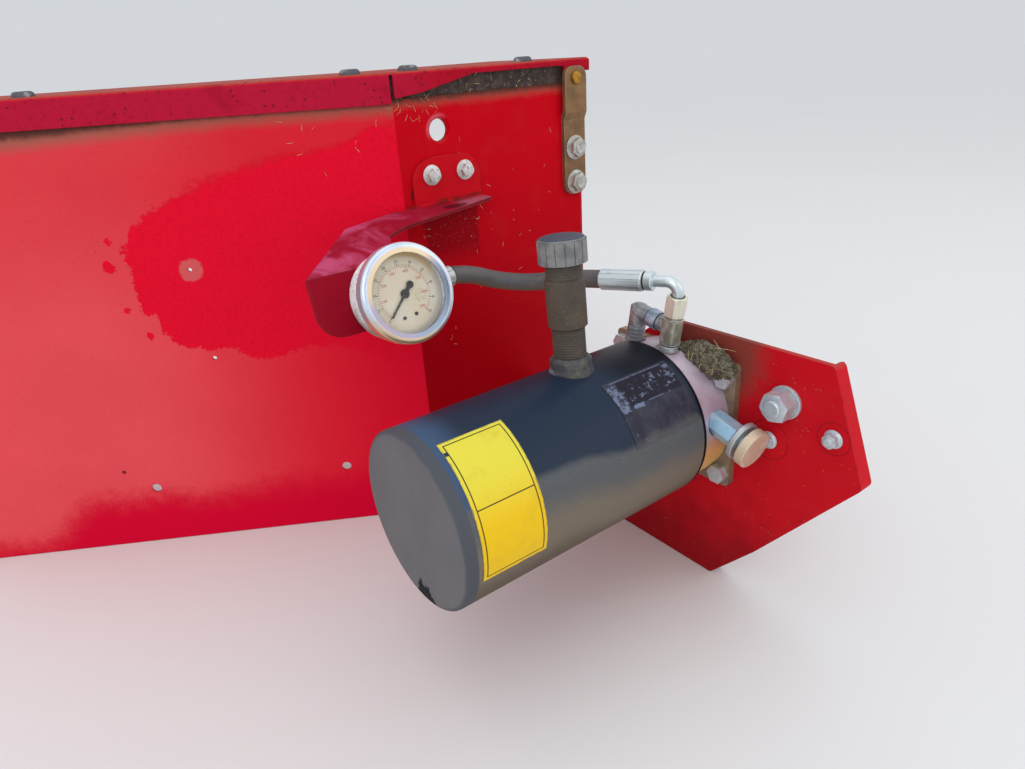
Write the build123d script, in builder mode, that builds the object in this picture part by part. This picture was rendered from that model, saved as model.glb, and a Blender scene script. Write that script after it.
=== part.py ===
from build123d import *
import os
from math import cos, pi, radians, sin, tan

os.makedirs("parts", exist_ok=True)

# Hydraulic bale-tension unit of a small square baler, with the corner panel
# that carries it. Millimetres, +Z up. X runs along the tank from its closed
# end to the pump, Y runs from the tank towards the panel. The origin is the
# middle of the four bolts that hold the unit to the machine's side wall.

# Bolts: shank, size across the flats, flange and head height
m6_radius = 3.0
m8_radius = 4.0
m10_radius = 5.0
m12_radius = 6.0
m6_flats = 9.0
m8_flats = 13.0
m8_small_flats = 10.0
m10_flats = 15.0
m12_flats = 19.0
m6_flange = 6.6
m8_flange = 8.2
m10_flange = 10.9
flange_thick = 1.8
nut_height = 8.0
tall_nut_height = 13.0
head_height = 6.4
stud_end = 2.0
bolt_clear = 0.5
seat_clear = 0.1

# Wall mount and its steel angle
mount_leg = 90.0
mount_thick = 8.0
mount_bottom_z = -184.0
mount_top_z = 158.0
mount_root_radius = 6.0
mount_spacing_y = 40.0
mount_spacing_z = 220.0
mount_hole = 13.5
web_front_y = -46.0
web_back_y = web_front_y + mount_thick
flange_end_y = web_front_y + mount_leg

# Folded sheet panel: the front leg holds the gauge, the long leg goes left
sheet = 2.0
packing_thick = 12.0
packing_width = 69.3
packing_bottom_z = -180.0
packing_top_z = 150.0
panel_back_y = web_front_y - packing_thick
panel_front_y = panel_back_y - sheet
panel_right_x = -14.7
front_leg = 190.3
long_leg = 442.0
fold_angle = 30.84
fold_x = panel_right_x - front_leg
panel_bottom_z = -194.0
panel_top_z = 180.5
bend_radius = 4.0
left_return = 22.0
bottom_return = 18.0
top_return = 15.0
flared_hole = 17.5
flared_rim = 24.0
flared_depth = 4.0
flared_radius = 2.6
flared_x = -164.7
flared_z = 154.4

# Small round holes in the long leg: distance left of the fold, height, bore
long_leg_holes = [
    (179.1, 63.1, 3.2),
    (177.1, -15.1, 3.6),
    (257.3, -136.9, 8.5),
    (83.2, -135.4, 8.5),
]

# Lid with turned-down lips over the panel
lid_top_z = 200.0
lid_gap = 1.0
lid_depth = 150.0
lid_right_x = -3.0
lid_edge_radius = 3.0
lip_height = 22.5
lip_corner_slot = 3.0
lip_fold_z = 181.0
lip_full_end = (-178.7, 184.0)
lip_slope_end = (-129.2, 194.6)
lip_right_z = 189.0
lip_hem_x = -40.0
rear_lip = 16.0
lug_width = 20.0
lug_bottom_z = 174.0
seal_width = 13.0
seal_setback = 1.0
dome_radius = 8.0
dome_height = 4.0
dome_round = 3.4
dome_setback = 7.5

# Lid screws: distance from the fold, minus to the left along the long leg
dome_places = [-267.6, -29.4, 21.2, 134.4]

# Zinc strap that ties lid, panel and angle together
strap_width = 25.0
strap_thick = 4.0
strap_x = -23.0
strap_bottom_z = 82.5
strap_joggle_z = 155.0
strap_joggle = 3.0
strap_top_z = 193.5
strap_corner = 9.0
rivet_z = 184.0
rivet_radius = 2.5
rivet_head_radius = 5.5
rivet_head = 2.5
strap_bolt_z = [124.4, 93.4]
strap_nut_height = 7.0
strap_stud_end = 0.8

# Tank, pump and gusset plate share one axis
axis_y = -248.5
axis_z = -51.5
gusset_front_x = -86.0
gusset_thick = 4.0
plate_thick = 6.0
plate_width = 117.0
plate_height = 100.0
plate_corner = 4.0
plate_bolt_y = 50.5
plate_bolt_z = 39.5
head_length = 30.0
head_radius = 56.0
groove_width = 2.5
groove_radius = 54.0
tank_length = 204.5
tank_radius = 60.0
tank_end_thick = 8.0
tank_end_radius = 3.5
spigot_radius = 27.0
cover_radius = 43.0
cover_thick = 8.0
nose_radius = 23.0
nose_length = 22.0
nose_edge = 2.0
shaft_radius = 8.0
shaft_fit = 0.05
shaft_relief = 0.5
shaft_in_head = 25.0
shaft_end_x = -15.0
hub_radius = 21.0
hub_length = 26.0
hub_gap = 5.0
hub_edge = 1.5

gusset_back_x = gusset_front_x + gusset_thick
plate_front_x = gusset_front_x - plate_thick
tank_rear_x = plate_front_x - head_length
tank_front_x = tank_rear_x - tank_length
nose_end_x = gusset_back_x + cover_thick + nose_length

# Filler neck: each piece stands on the one below, the first on the tank
neck_from_front = 136.0
neck_lean = 4.0
bung_radius = 14.5
bung_height = 10.5
bung_edge = 2.5
weld_width = 1.0
weld_height = 3.0
nipple_radius = 10.8
nipple_height = 20.5
coupling_radius = 13.4
coupling_height = 33.5
coupling_edge = 1.2
thread_radius = 12.0
thread_height = 22.5
cap_radius = 16.5
cap_gap = 10.0
cap_height = 17.5
cap_fit = 0.4
cap_crown = 4.0
cap_edge = 2.0
neck_bore = 8.0
neck_bore_depth = 32.0

neck_x = tank_front_x + neck_from_front
bung_top = tank_radius + bung_height
coupling_bottom = bung_top + nipple_height
coupling_top = coupling_bottom + coupling_height
thread_top = coupling_top + thread_height
cap_bottom = coupling_top + cap_gap
cap_top = cap_bottom + cap_height

# Tee on the first port of the pump head, and the leg that turns back into it
port_from_tank = 13.7
port_clock = 10.0
port_depth = 1.5
port_seat_radius = 9.0
adapter_radius = 7.0
adapter_height = 7.0
tee_radius = 6.9
tee_height = 21.8
branch_rise = 11.5
branch_reach = 33.0
branch_radius = 6.5
branch_stub = 12.0
collar_radius = 7.3
collar_length = 9.0
leg_height = 30.0
leg_radius = 5.9
leg_rib_radius = 6.9
leg_ribs = 5
leg_rib_pitch = 3.2
leg_rib_width = 1.8
leg_rib_start = 14.0
swivel_flats = 14.0
swivel_turn = 30.0
swivel_height = 15.2
swivel_edge = 1.2

port_x = tank_rear_x + port_from_tank
port_seat = head_radius - port_depth
adapter_top = port_seat + adapter_height
tee_top = adapter_top + tee_height
swivel_top = tee_top + swivel_height
branch_height = adapter_top + branch_rise
leg_seat = branch_height - leg_height

# Hose from the tee to the gauge: its route was chosen by hand
hose_radius = 6.8
tube_radius = 4.2
tube_bend = 8.2
tube_rise = 10.9
tube_corner = swivel_top + tube_rise
crimp_radius = 7.9
crimp_length = 32.0
crimp_edge = 0.8
crimp_collar_radius = 7.1
crimp_collar = 9.5
hose_route = [
    (-208.8, -128.7, 56.25),
    (-194.0, -128.7, 57.0),
    (-172.0, -134.3, 49.4),
    (-153.9, -149.6, 45.5),
    (-143.2, -172.5, 47.2),
    (-136.06, -190.55, 49.86),
    (-129.06, -209.96, 51.47),
]
hose_radii = [38.0, 45.0, 50.0, 100.0, 100.0]

# Gauge, in its own frame: x right, y up, z out of the dial
gauge_x = -268.3
gauge_y = -168.9
gauge_z = 65.2
gauge_tilt = 16.9
bezel_radius = 34.5
bezel_lip = 27.4
bezel_back = -7.0
bezel_front = 2.5
bezel_round = 2.8
case_radius = 31.0
case_front = -2.0
case_back = -29.0
case_edge = 2.0
recess_radius = 29.4
recess_depth = 5.5
dial_thick = 1.0
dial_gap = 0.3
lens_thick = 2.0
pointer_tip = 19.5
pointer_tail = 7.5
pointer_tail_radius = 2.6
pointer_width = 1.4
pointer_thick = 0.6
pointer_rise = 1.2
pointer_rest = 225.0
pointer_hub = 3.2
pin_radius = 0.9
pin_fit = 0.05
stem_radius = 6.5
locknut_flats = 22.0
locknut_thick = 4.2
elbow_back = -42.0
elbow_radius = 7.2
outlet_radius = 5.5

# Bent bracket that holds the gauge
bracket_thick = 3.0
arm_slope = 14.5
arm_root_z = 99.0
tab_left_x = -196.0
tab_right_x = -131.0
tab_top_z = 135.0
tab_corner = 20.0
tab_bolt_x = [-178.3, -145.9]
tab_bolt_z = 121.0
face_left = 56.0
face_right = 18.0
face_top = 24.0
face_bottom = 19.0
face_corner = 18.0

# Arm outline in plan, from its root on the panel round the right end
arm_outline = [
    (-131.0, -60.0),
    (-126.0, -71.0),
    (-222.0, -90.0),
    (-241.0, -99.0),
    (-250.3, -118.0),
    (-250.3, -134.0),
    (-324.3, -134.0),
    (-266.0, -76.0),
    (-198.0, -60.0),
]

# Gusset outline in Y and Z: its free edge, then the step over the pump
gusset_bottom_z = -194.0
gusset_edge = [
    (-375.0, 18.0),
    (-404.0, -60.0),
    (-330.0, -152.0),
    (-292.0, gusset_bottom_z),
]
gusset_back_top_z = -92.0
gusset_step = [(-191.0, -17.0), (-235.0, 16.0)]
gusset_corner = 5.0
edge_depth = 12.0
foot_width = 50.0
foot_bottom_z = -186.0
foot_top_z = -98.0
foot_corner = 8.0
foot_bolt_x = -58.0
foot_bolt_z = [-112.0, -142.0, -172.0]
big_bolt = (-344.0, -17.5)
washer_radius = 12.0
washer_thick = 2.5

# Small bolts in the gusset: Y, Z, nut height, length of bolt past the nut
small_bolts = [
    (-380.5, -31.5, 6.4, 1.6),
    (-334.0, -51.0, 4.0, 0.0),
]

# Relief valve on the front of the pump head, placed from the pump's axis
relief_from_plate = 13.0
relief_side = 55.0
relief_level = 9.5
relief_clock = 106.0
relief_flats = 16.0
relief_seat = 4.0
relief_seat_gap = 0.4
relief_hex_end = 18.0
relief_stem_radius = 7.0
ring_radius = 14.5
ring_start = 20.5
ring_thick = 4.0
knob_radius = 14.5
knob_start = 27.5
knob_thick = 7.0
knob_edge = 0.8


def hex_radius(flats):
    """Corner radius of a hexagon with this size across its flats."""
    return flats / 2 / cos(radians(30))


def finish(solid, name):
    """Labels one finished piece and writes it."""
    solid.label = name
    export_step(solid, "parts/" + name + ".step")


def stack(plane, steps):
    """Adds steps along a plane's normal to the part that is being built.
    Each step is its start, length, radius and number of sides, 0 if round."""
    for start, length, radius, sides in steps:
        with BuildSketch(plane.offset(start)) as profile:
            if sides:
                RegularPolygon(radius, sides)
            else:
                Circle(radius)
        extrude(profile.sketch, amount=length)


fold_cos = cos(radians(fold_angle))
fold_sin = sin(radians(fold_angle))


def along(distance, behind=0.0):
    """Plan point at a distance from the fold, minus on the long leg,
    and this far behind the panel's front face."""
    if distance >= 0:
        return (fold_x + distance, panel_front_y + behind)
    return (
        fold_x + distance * fold_cos + behind * fold_sin,
        panel_front_y - distance * fold_sin + behind * fold_cos,
    )


def fold_point(behind):
    """Plan point where the fold lies, this far behind the front face."""
    return (fold_x + behind * tan(radians(fold_angle / 2)), panel_front_y + behind)


def front(x, z, proud=0.0):
    """Plane that faces the viewer on the panel's front leg."""
    return Plane(origin=(x, panel_front_y - proud, z), x_dir=(1, 0, 0), z_dir=(0, -1, 0))


def long_front(distance, z):
    """Plane that faces outwards on the panel's long leg."""
    x, y = along(-distance)
    return Plane(
        origin=(x, y, z),
        x_dir=(fold_cos, -fold_sin, 0),
        z_dir=(-fold_sin, -fold_cos, 0),
    )


def across(x, y=axis_y, z=axis_z):
    """Plane that faces the wall, on the tank's axis unless y and z are given."""
    return Plane(origin=(x, y, z), x_dir=(0, 1, 0), z_dir=(1, 0, 0))


def radial(x, clock, distance=0.0):
    """Plane that faces away from the tank's axis; the clock starts at the top
    and turns towards the viewer."""
    out_y = -sin(radians(clock))
    out_z = cos(radians(clock))
    return Plane(
        origin=(x, axis_y + distance * out_y, axis_z + distance * out_z),
        x_dir=(1, 0, 0),
        z_dir=(0, out_y, out_z),
    )


strap_places = [front(strap_x, z) for z in strap_bolt_z]
foot_places = [front(foot_bolt_x, z) for z in foot_bolt_z]
tab_places = [front(x, tab_bolt_z) for x in tab_bolt_x]
dome_points = [along(distance, dome_setback) for distance in dome_places]
plate_bolts_at = [
    (axis_y + side * plate_bolt_y, axis_z + level * plate_bolt_z)
    for side in (-1, 1)
    for level in (-1, 1)
]

# Mounting angle: one leg behind the panel, the other on the wall
with BuildPart() as mount_angle:
    with BuildSketch(Plane.XY.offset(mount_bottom_z)):
        with BuildLine():
            Polyline(
                (0, web_front_y),
                (0, flange_end_y),
                (-mount_thick, flange_end_y),
                (-mount_thick, web_back_y),
                (-mount_leg, web_back_y),
                (-mount_leg, web_front_y),
                close=True,
            )
        make_face()
        fillet(vertices().sort_by_distance((-mount_thick, web_back_y))[0], mount_root_radius)
    extrude(amount=mount_top_z - mount_bottom_z)
    with Locations(Plane.YZ):
        with GridLocations(mount_spacing_y, mount_spacing_z, 2, 2):
            Hole(mount_hole / 2)
    with Locations(*strap_places, *foot_places):
        Hole(m10_radius + bolt_clear)
finish(mount_angle.part, "mount_angle")

# Packing bar between the angle and the panel
with BuildPart() as packing_bar:
    with BuildSketch(Plane.XY.offset(packing_bottom_z)):
        with Locations((panel_right_x, panel_back_y)):
            Rectangle(packing_width, packing_thick, align=(Align.MAX, Align.MIN))
    extrude(amount=packing_top_z - packing_bottom_z)
    with Locations(*strap_places, *foot_places):
        Hole(m10_radius + bolt_clear)
finish(packing_bar.part, "packing_bar")

# Front panel: one folded sheet with returns at its left end, top and bottom
with BuildPart() as front_panel:
    with BuildSketch(Plane.XY.offset(panel_bottom_z)):
        with BuildLine():
            FilletPolyline(
                along(sheet / 2 - long_leg, left_return),
                along(sheet / 2 - long_leg, sheet / 2),
                fold_point(sheet / 2),
                (panel_right_x, panel_front_y + sheet / 2),
                radius=bend_radius - sheet / 2,
            )
        trace(line_width=sheet)
    extrude(amount=panel_top_z - panel_bottom_z)
    with BuildSketch(Plane.XY.offset(panel_top_z)):
        Polygon(
            along(sheet / 2 - long_leg, sheet / 2),
            fold_point(sheet / 2),
            (panel_right_x, panel_front_y + sheet / 2),
            (panel_right_x, panel_front_y + top_return),
            fold_point(top_return),
            along(sheet / 2 - long_leg, top_return),
            align=None,
        )
    extrude(amount=-sheet)
    with BuildSketch(Plane.XY.offset(panel_bottom_z)):
        Polygon(
            along(sheet / 2 - long_leg, sheet / 2),
            fold_point(sheet / 2),
            fold_point(bottom_return),
            along(sheet / 2 - long_leg, bottom_return),
            align=None,
        )
    extrude(amount=sheet)
    stack(front(flared_x, flared_z, -sheet - flared_depth), [(0, flared_depth, flared_rim / 2, 0)])
    with Locations(front(flared_x, flared_z)):
        Hole(flared_hole / 2)
    rim = front_panel.edges().filter_by(GeomType.CIRCLE)
    fillet(rim.sort_by_distance((flared_x, panel_front_y, flared_z))[0], flared_radius)
    for distance, height, bore in long_leg_holes:
        with Locations(long_front(distance, height)):
            Hole(bore / 2, sheet)
    with Locations(*strap_places, *foot_places):
        Hole(m10_radius + bolt_clear)
    with Locations(*tab_places):
        Hole(m8_radius + bolt_clear)
    with Locations(*[(x, y, panel_top_z) for x, y in dome_points]):
        Hole(m6_radius + bolt_clear, sheet)
finish(front_panel.part, "front_panel")

# Seal strip between the panel's top return and the lid
seal_height = lid_top_z - sheet - panel_top_z
with BuildPart() as seal_strip:
    with BuildSketch(Plane.XY.offset(panel_top_z)):
        Polygon(
            along(sheet - long_leg, seal_setback),
            fold_point(seal_setback),
            (panel_right_x, panel_front_y + seal_setback),
            (panel_right_x, panel_front_y + seal_setback + seal_width),
            fold_point(seal_setback + seal_width),
            along(sheet - long_leg, seal_setback + seal_width),
            align=None,
        )
    extrude(amount=seal_height)
    with Locations(*[(x, y, panel_top_z + seal_height) for x, y in dome_points]):
        Hole(m6_radius + bolt_clear, seal_height)
finish(seal_strip.part, "seal_strip")

# Lid: a shallow tray, upside down, its front lip cut back over the front leg
lip_front = lid_gap + sheet
lip_front_y = panel_front_y - lip_front
lip_bottom_z = lid_top_z - lip_height
lid_plan = [
    along(-long_leg - lip_front, -lip_front),
    fold_point(-lip_front),
    (lid_right_x, lip_front_y),
    (lid_right_x, lip_front_y + lid_depth),
    fold_point(lid_depth - lip_front),
    along(-long_leg - lip_front, lid_depth - lip_front),
]
with BuildPart() as lid:
    with BuildSketch(Plane.XY.offset(lip_bottom_z)):
        Polygon(*lid_plan, align=None)
    extrude(amount=lip_height)
    fillet(lid.faces().sort_by(Axis.Z)[-1].edges(), lid_edge_radius)
    with BuildSketch(Plane.XY.offset(lip_bottom_z)):
        Polygon(*lid_plan, align=None)
        offset(amount=-sheet, kind=Kind.INTERSECTION, mode=Mode.REPLACE)
    extrude(amount=lip_height - sheet, mode=Mode.SUBTRACT)
    with BuildSketch(front(0, 0, lip_front)):
        with BuildLine():
            Polyline(
                (fold_x, lip_bottom_z),
                (fold_x, lip_fold_z),
                lip_full_end,
                lip_slope_end,
                (lip_hem_x, lip_slope_end[1]),
                (lid_right_x, lip_right_z),
                (lid_right_x, lip_bottom_z),
                close=True,
            )
        make_face()
    extrude(amount=-sheet, mode=Mode.SUBTRACT)
    with BuildSketch(Plane.XY.offset(lip_bottom_z)):
        with Locations((lid_right_x, lip_front_y)):
            Rectangle(2 * sheet, lid_depth, align=(Align.CENTER, Align.MIN))
    extrude(amount=lip_right_z - lip_bottom_z, mode=Mode.SUBTRACT)
    with BuildSketch(Plane.XY.offset(lip_bottom_z)):
        Polygon(
            (lid_right_x, lip_front_y + lid_depth),
            fold_point(lid_depth - lip_front),
            along(-long_leg - lip_front, lid_depth - lip_front),
            along(-long_leg - lip_front, lid_depth - lip_front - 2 * sheet),
            fold_point(lid_depth - lip_front - 2 * sheet),
            (lid_right_x, lip_front_y + lid_depth - 2 * sheet),
            align=None,
        )
    extrude(amount=lip_height - rear_lip, mode=Mode.SUBTRACT)
    with BuildSketch(front(fold_x, lip_bottom_z, lip_front + sheet)):
        Rectangle(lip_corner_slot, 2 * (lip_height - sheet))
    extrude(amount=-3 * sheet, mode=Mode.SUBTRACT)
    with BuildSketch(front(strap_x, lug_bottom_z, lip_front)):
        Rectangle(lug_width, lid_top_z - lug_bottom_z - sheet, align=(Align.CENTER, Align.MIN))
    extrude(amount=-sheet)
    with Locations(*[(x, y, lid_top_z) for x, y in dome_points]):
        Hole(m6_radius + bolt_clear, sheet)
    with Locations(front(strap_x, rivet_z)):
        Hole(rivet_radius + seat_clear)
finish(lid.part, "lid")

# Lid screws: low domes on top, nuts under the panel's top return
with BuildPart() as lid_screws:
    for x, y in dome_points:
        stack(Plane(origin=(x, y, lid_top_z)), [(0, dome_height, dome_radius, 0)])
    fillet(lid_screws.edges().group_by(Axis.Z)[-1], dome_round)
    for x, y in dome_points:
        shank = lid_top_z - panel_top_z + sheet
        stack(
            Plane(origin=(x, y, lid_top_z)),
            [
                (-shank, shank, m6_radius, 0),
                (-shank - head_height, head_height, hex_radius(m6_flats), 6),
            ],
        )
finish(lid_screws.part, "lid_screws")

# Corner strap: flat on the panel, joggled out over the lid's lug
strap_front_y = panel_front_y - strap_thick
with BuildPart() as corner_strap:
    with BuildSketch(Plane.YZ.offset(strap_x - strap_width / 2)):
        with BuildLine():
            Polyline(
                (panel_front_y, strap_bottom_z),
                (panel_front_y, strap_joggle_z - strap_joggle),
                (panel_front_y - strap_joggle, strap_joggle_z + strap_joggle),
                (panel_front_y - strap_joggle, strap_top_z),
                (strap_front_y - strap_joggle, strap_top_z),
                (strap_front_y - strap_joggle, strap_joggle_z),
                (strap_front_y, strap_joggle_z - 2 * strap_joggle),
                (strap_front_y, strap_bottom_z),
                close=True,
            )
        make_face()
    extrude(amount=strap_width)
    ends = corner_strap.edges().filter_by(Axis.Y).group_by(Axis.Z)
    fillet(ends[-1] + ends[0], strap_corner)
    with Locations(*strap_places):
        Hole(m10_radius + bolt_clear)
    with Locations(front(strap_x, rivet_z)):
        Hole(rivet_radius + seat_clear)
finish(corner_strap.part, "corner_strap")

# Rivet through the strap and the lid's lug
with BuildPart() as strap_rivet:
    rivet_front = strap_thick + strap_joggle
    stack(
        front(strap_x, rivet_z),
        [
            (lid_gap / 2, rivet_front - lid_gap / 2, rivet_radius, 0),
            (rivet_front, rivet_head, rivet_head_radius, 0),
        ],
    )
    fillet(strap_rivet.edges().group_by(Axis.Y)[0], rivet_head - flange_thick / 2)
finish(strap_rivet.part, "strap_rivet")

# Strap bolts: heads behind the angle, flange nuts on the strap
behind_web = web_back_y - panel_front_y
with BuildPart() as strap_bolts:
    for place in strap_places:
        stack(
            place,
            [
                (-behind_web - head_height, head_height, hex_radius(m10_flats), 6),
                (
                    -behind_web,
                    behind_web + strap_thick + strap_nut_height + strap_stud_end,
                    m10_radius,
                    0,
                ),
                (strap_thick, flange_thick, m10_flange, 0),
                (strap_thick, strap_nut_height, hex_radius(m10_flats), 6),
            ],
        )
finish(strap_bolts.part, "strap_bolts")

# Gusset: upright plate with a turned free edge and a foot on the panel
gusset_back_y = panel_front_y
with BuildPart() as gusset_plate:
    with BuildSketch(Plane.YZ.offset(gusset_front_x)) as gusset_face:
        with BuildLine():
            FilletPolyline(
                *gusset_edge,
                (gusset_back_y, gusset_bottom_z),
                (gusset_back_y, gusset_back_top_z),
                *gusset_step,
                close=True,
                radius=gusset_corner,
            )
        make_face()
    extrude(amount=gusset_thick)
    with BuildSketch(Plane.YZ.offset(gusset_front_x)):
        with BuildLine():
            FilletPolyline(*gusset_edge, radius=gusset_corner)
        trace(line_width=2 * gusset_thick)
        add(gusset_face.sketch_local, mode=Mode.INTERSECT)
    extrude(amount=edge_depth)
    with BuildSketch(front(gusset_front_x, foot_bottom_z)):
        Rectangle(foot_width, foot_top_z - foot_bottom_z, align=(Align.MIN, Align.MIN))
    extrude(amount=gusset_thick)
    foot_corners = gusset_plate.edges().filter_by(Axis.Y).group_by(Axis.X)[-1]
    fillet(foot_corners, foot_corner)
    with Locations(across(gusset_back_x)):
        Hole(spigot_radius + bolt_clear)
    with Locations(*[across(gusset_back_x, y, z) for y, z in plate_bolts_at]):
        Hole(m8_radius + bolt_clear)
    with Locations(across(gusset_back_x, *big_bolt)):
        Hole(m12_radius + bolt_clear)
    with Locations(*[across(gusset_back_x, y, z) for y, z, height, end in small_bolts]):
        Hole(m6_radius + bolt_clear)
    with Locations(*foot_places):
        Hole(m10_radius + bolt_clear)
finish(gusset_plate.part, "gusset_plate")

# Three bolts in the gusset's free corner, nuts on the viewer's side
with BuildPart() as gusset_bolts:
    stack(
        Plane(origin=(gusset_front_x, *big_bolt), x_dir=(0, -1, 0), z_dir=(-1, 0, 0)),
        [
            (-gusset_thick - head_height, head_height, hex_radius(m12_flats), 6),
            (
                -gusset_thick,
                gusset_thick + washer_thick + tall_nut_height + stud_end,
                m12_radius,
                0,
            ),
            (0, washer_thick, washer_radius, 0),
            (washer_thick, tall_nut_height, hex_radius(m12_flats), 6),
        ],
    )
    for y, z, height, end in small_bolts:
        stack(
            Plane(origin=(gusset_front_x, y, z), x_dir=(0, -1, 0), z_dir=(-1, 0, 0)),
            [
                (-gusset_thick - head_height, head_height, hex_radius(m6_flats), 6),
                (-gusset_thick, gusset_thick + height + end, m6_radius, 0),
                (0, flange_thick, m6_flange, 0),
                (0, height, hex_radius(m6_flats), 6),
            ],
        )
finish(gusset_bolts.part, "gusset_bolts")

# Foot bolts: heads on the foot, nuts behind the angle
with BuildPart() as foot_bolts:
    for place in foot_places:
        stack(
            place,
            [
                (-behind_web - nut_height, nut_height, hex_radius(m10_flats), 6),
                (-behind_web - nut_height, behind_web + nut_height + gusset_thick, m10_radius, 0),
                (gusset_thick, flange_thick, m10_flange, 0),
                (gusset_thick, head_height, hex_radius(m10_flats), 6),
            ],
        )
finish(foot_bolts.part, "foot_bolts")

# Adapter plate between the gusset and the pump
with BuildPart() as pump_plate:
    with BuildSketch(across(plate_front_x)):
        RectangleRounded(plate_width, plate_height, plate_corner)
    extrude(amount=plate_thick)
    with Locations(across(gusset_front_x)):
        Hole(spigot_radius + bolt_clear)
    with Locations(*[across(gusset_front_x, y, z) for y, z in plate_bolts_at]):
        Hole(m8_radius + bolt_clear)
finish(pump_plate.part, "pump_plate")

# Four bolts through plate and gusset
with BuildPart() as plate_bolts:
    for y, z in plate_bolts_at:
        stack(
            across(plate_front_x, y, z),
            [
                (-head_height, head_height, hex_radius(m8_flats), 6),
                (0, plate_thick + gusset_thick + nut_height, m8_radius, 0),
                (plate_thick + gusset_thick, nut_height, hex_radius(m8_flats), 6),
            ],
        )
finish(plate_bolts.part, "plate_bolts")

# Pump head: thick disc, groove against the tank, spigot through the plates
tee_seat = radial(port_x, port_clock)
branch_y = cos(radians(port_clock))
branch_z = sin(radians(port_clock))
leg_axis = Plane(
    origin=(port_x, axis_y + branch_reach * branch_y, axis_z + branch_reach * branch_z),
    x_dir=(1, 0, 0),
    z_dir=tee_seat.z_dir,
)
relief_axis = Plane(
    origin=(plate_front_x - relief_from_plate, axis_y - relief_side, axis_z + relief_level),
    x_dir=(1, 0, 0),
    z_dir=(0, -sin(radians(relief_clock)), cos(radians(relief_clock))),
)
with BuildPart() as pump_head:
    stack(
        across(tank_rear_x),
        [
            (0, groove_width, groove_radius, 0),
            (groove_width, head_length - groove_width, head_radius, 0),
            (head_length, plate_thick + gusset_thick, spigot_radius, 0),
        ],
    )
    with Locations(tee_seat.offset(head_radius)):
        Hole(port_seat_radius, head_radius - port_seat)
    with Locations(leg_axis.offset(head_radius)):
        Hole(port_seat_radius, head_radius - leg_seat)
    with Locations(relief_axis.offset(relief_hex_end)):
        Hole(hex_radius(relief_flats) + relief_seat_gap, relief_hex_end + relief_seat)
    with Locations(across(gusset_back_x)):
        Hole(shaft_radius + shaft_relief, shaft_in_head)
finish(pump_head.part, "pump_head")

# Bearing cover and nose behind the gusset
with BuildPart() as bearing_cover:
    stack(
        across(gusset_back_x),
        [(0, cover_thick, cover_radius, 0), (cover_thick, nose_length, nose_radius, 0)],
    )
    fillet(bearing_cover.edges().group_by(Axis.X)[-1], nose_edge)
    with Locations(across(nose_end_x)):
        Hole(shaft_radius + shaft_fit)
finish(bearing_cover.part, "bearing_cover")

# Drive shaft with its coupling hub
shaft_start_x = gusset_back_x - shaft_in_head + shaft_relief
with BuildPart() as drive_shaft:
    stack(across(nose_end_x + hub_gap), [(0, hub_length, hub_radius, 0)])
    chamfer(drive_shaft.edges(), hub_edge)
    stack(across(shaft_start_x), [(0, shaft_end_x - shaft_start_x, shaft_radius, 0)])
finish(drive_shaft.part, "drive_shaft")

# Tank and its closed end
with BuildPart() as tank_end:
    stack(across(tank_front_x), [(0, tank_end_thick, tank_radius, 0)])
    fillet(tank_end.edges().group_by(Axis.X)[0], tank_end_radius)
finish(tank_end.part, "tank_end")

with BuildPart() as tank_shell:
    stack(across(tank_front_x + tank_end_thick), [(0, tank_length - tank_end_thick, tank_radius, 0)])
finish(tank_shell.part, "tank_shell")

# Filler neck: welded bung, nipple, coupling and threaded nipple
neck = radial(neck_x, -neck_lean)
with BuildPart() as filler_bung:
    stack(neck, [(tank_radius / 2, bung_top - tank_radius / 2, bung_radius, 0)])
    chamfer(filler_bung.edges().group_by(Axis.Z)[-1], bung_edge)
    with BuildSketch(neck.offset(tank_radius - weld_height)):
        Circle(bung_radius + 2 * weld_width)
    with BuildSketch(neck.offset(tank_radius + weld_height)):
        Circle(bung_radius)
    loft()
    with BuildSketch(across(tank_front_x)):
        Circle(tank_radius)
    extrude(amount=tank_length, mode=Mode.SUBTRACT)
finish(filler_bung.part, "filler_bung")

with BuildPart() as lower_nipple:
    stack(neck, [(bung_top, coupling_bottom - bung_top, nipple_radius, 0)])
finish(lower_nipple.part, "lower_nipple")

with BuildPart() as neck_coupling:
    stack(neck, [(coupling_bottom, coupling_top - coupling_bottom, coupling_radius, 0)])
    chamfer(neck_coupling.edges().filter_by(GeomType.CIRCLE), coupling_edge)
    with Locations(neck.offset(coupling_top)):
        Hole(neck_bore, neck_bore_depth + coupling_top - thread_top)
finish(neck_coupling.part, "neck_coupling")

with BuildPart() as upper_nipple:
    stack(neck, [(coupling_top, thread_top - coupling_top, thread_radius, 0)])
    with Locations(neck.offset(thread_top)):
        Hole(neck_bore, thread_top - coupling_top)
finish(upper_nipple.part, "upper_nipple")

# Filler cap, a plain cup over the threaded nipple
with BuildPart() as filler_cap:
    stack(neck, [(cap_bottom, cap_top - cap_bottom, cap_radius, 0)])
    fillet(filler_cap.edges().group_by(Axis.Z)[-1], cap_edge)
    with Locations(Plane(origin=neck.offset(cap_bottom).origin, x_dir=(1, 0, 0), z_dir=-neck.z_dir)):
        Hole(thread_radius + cap_fit, cap_top - cap_bottom - cap_crown)
finish(filler_cap.part, "filler_cap")

# Tee on the pump head, and the branch that turns back into it
with BuildPart() as port_adapter:
    stack(tee_seat, [(port_seat, adapter_top - port_seat, adapter_radius, 0)])
finish(port_adapter.part, "port_adapter")

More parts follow.
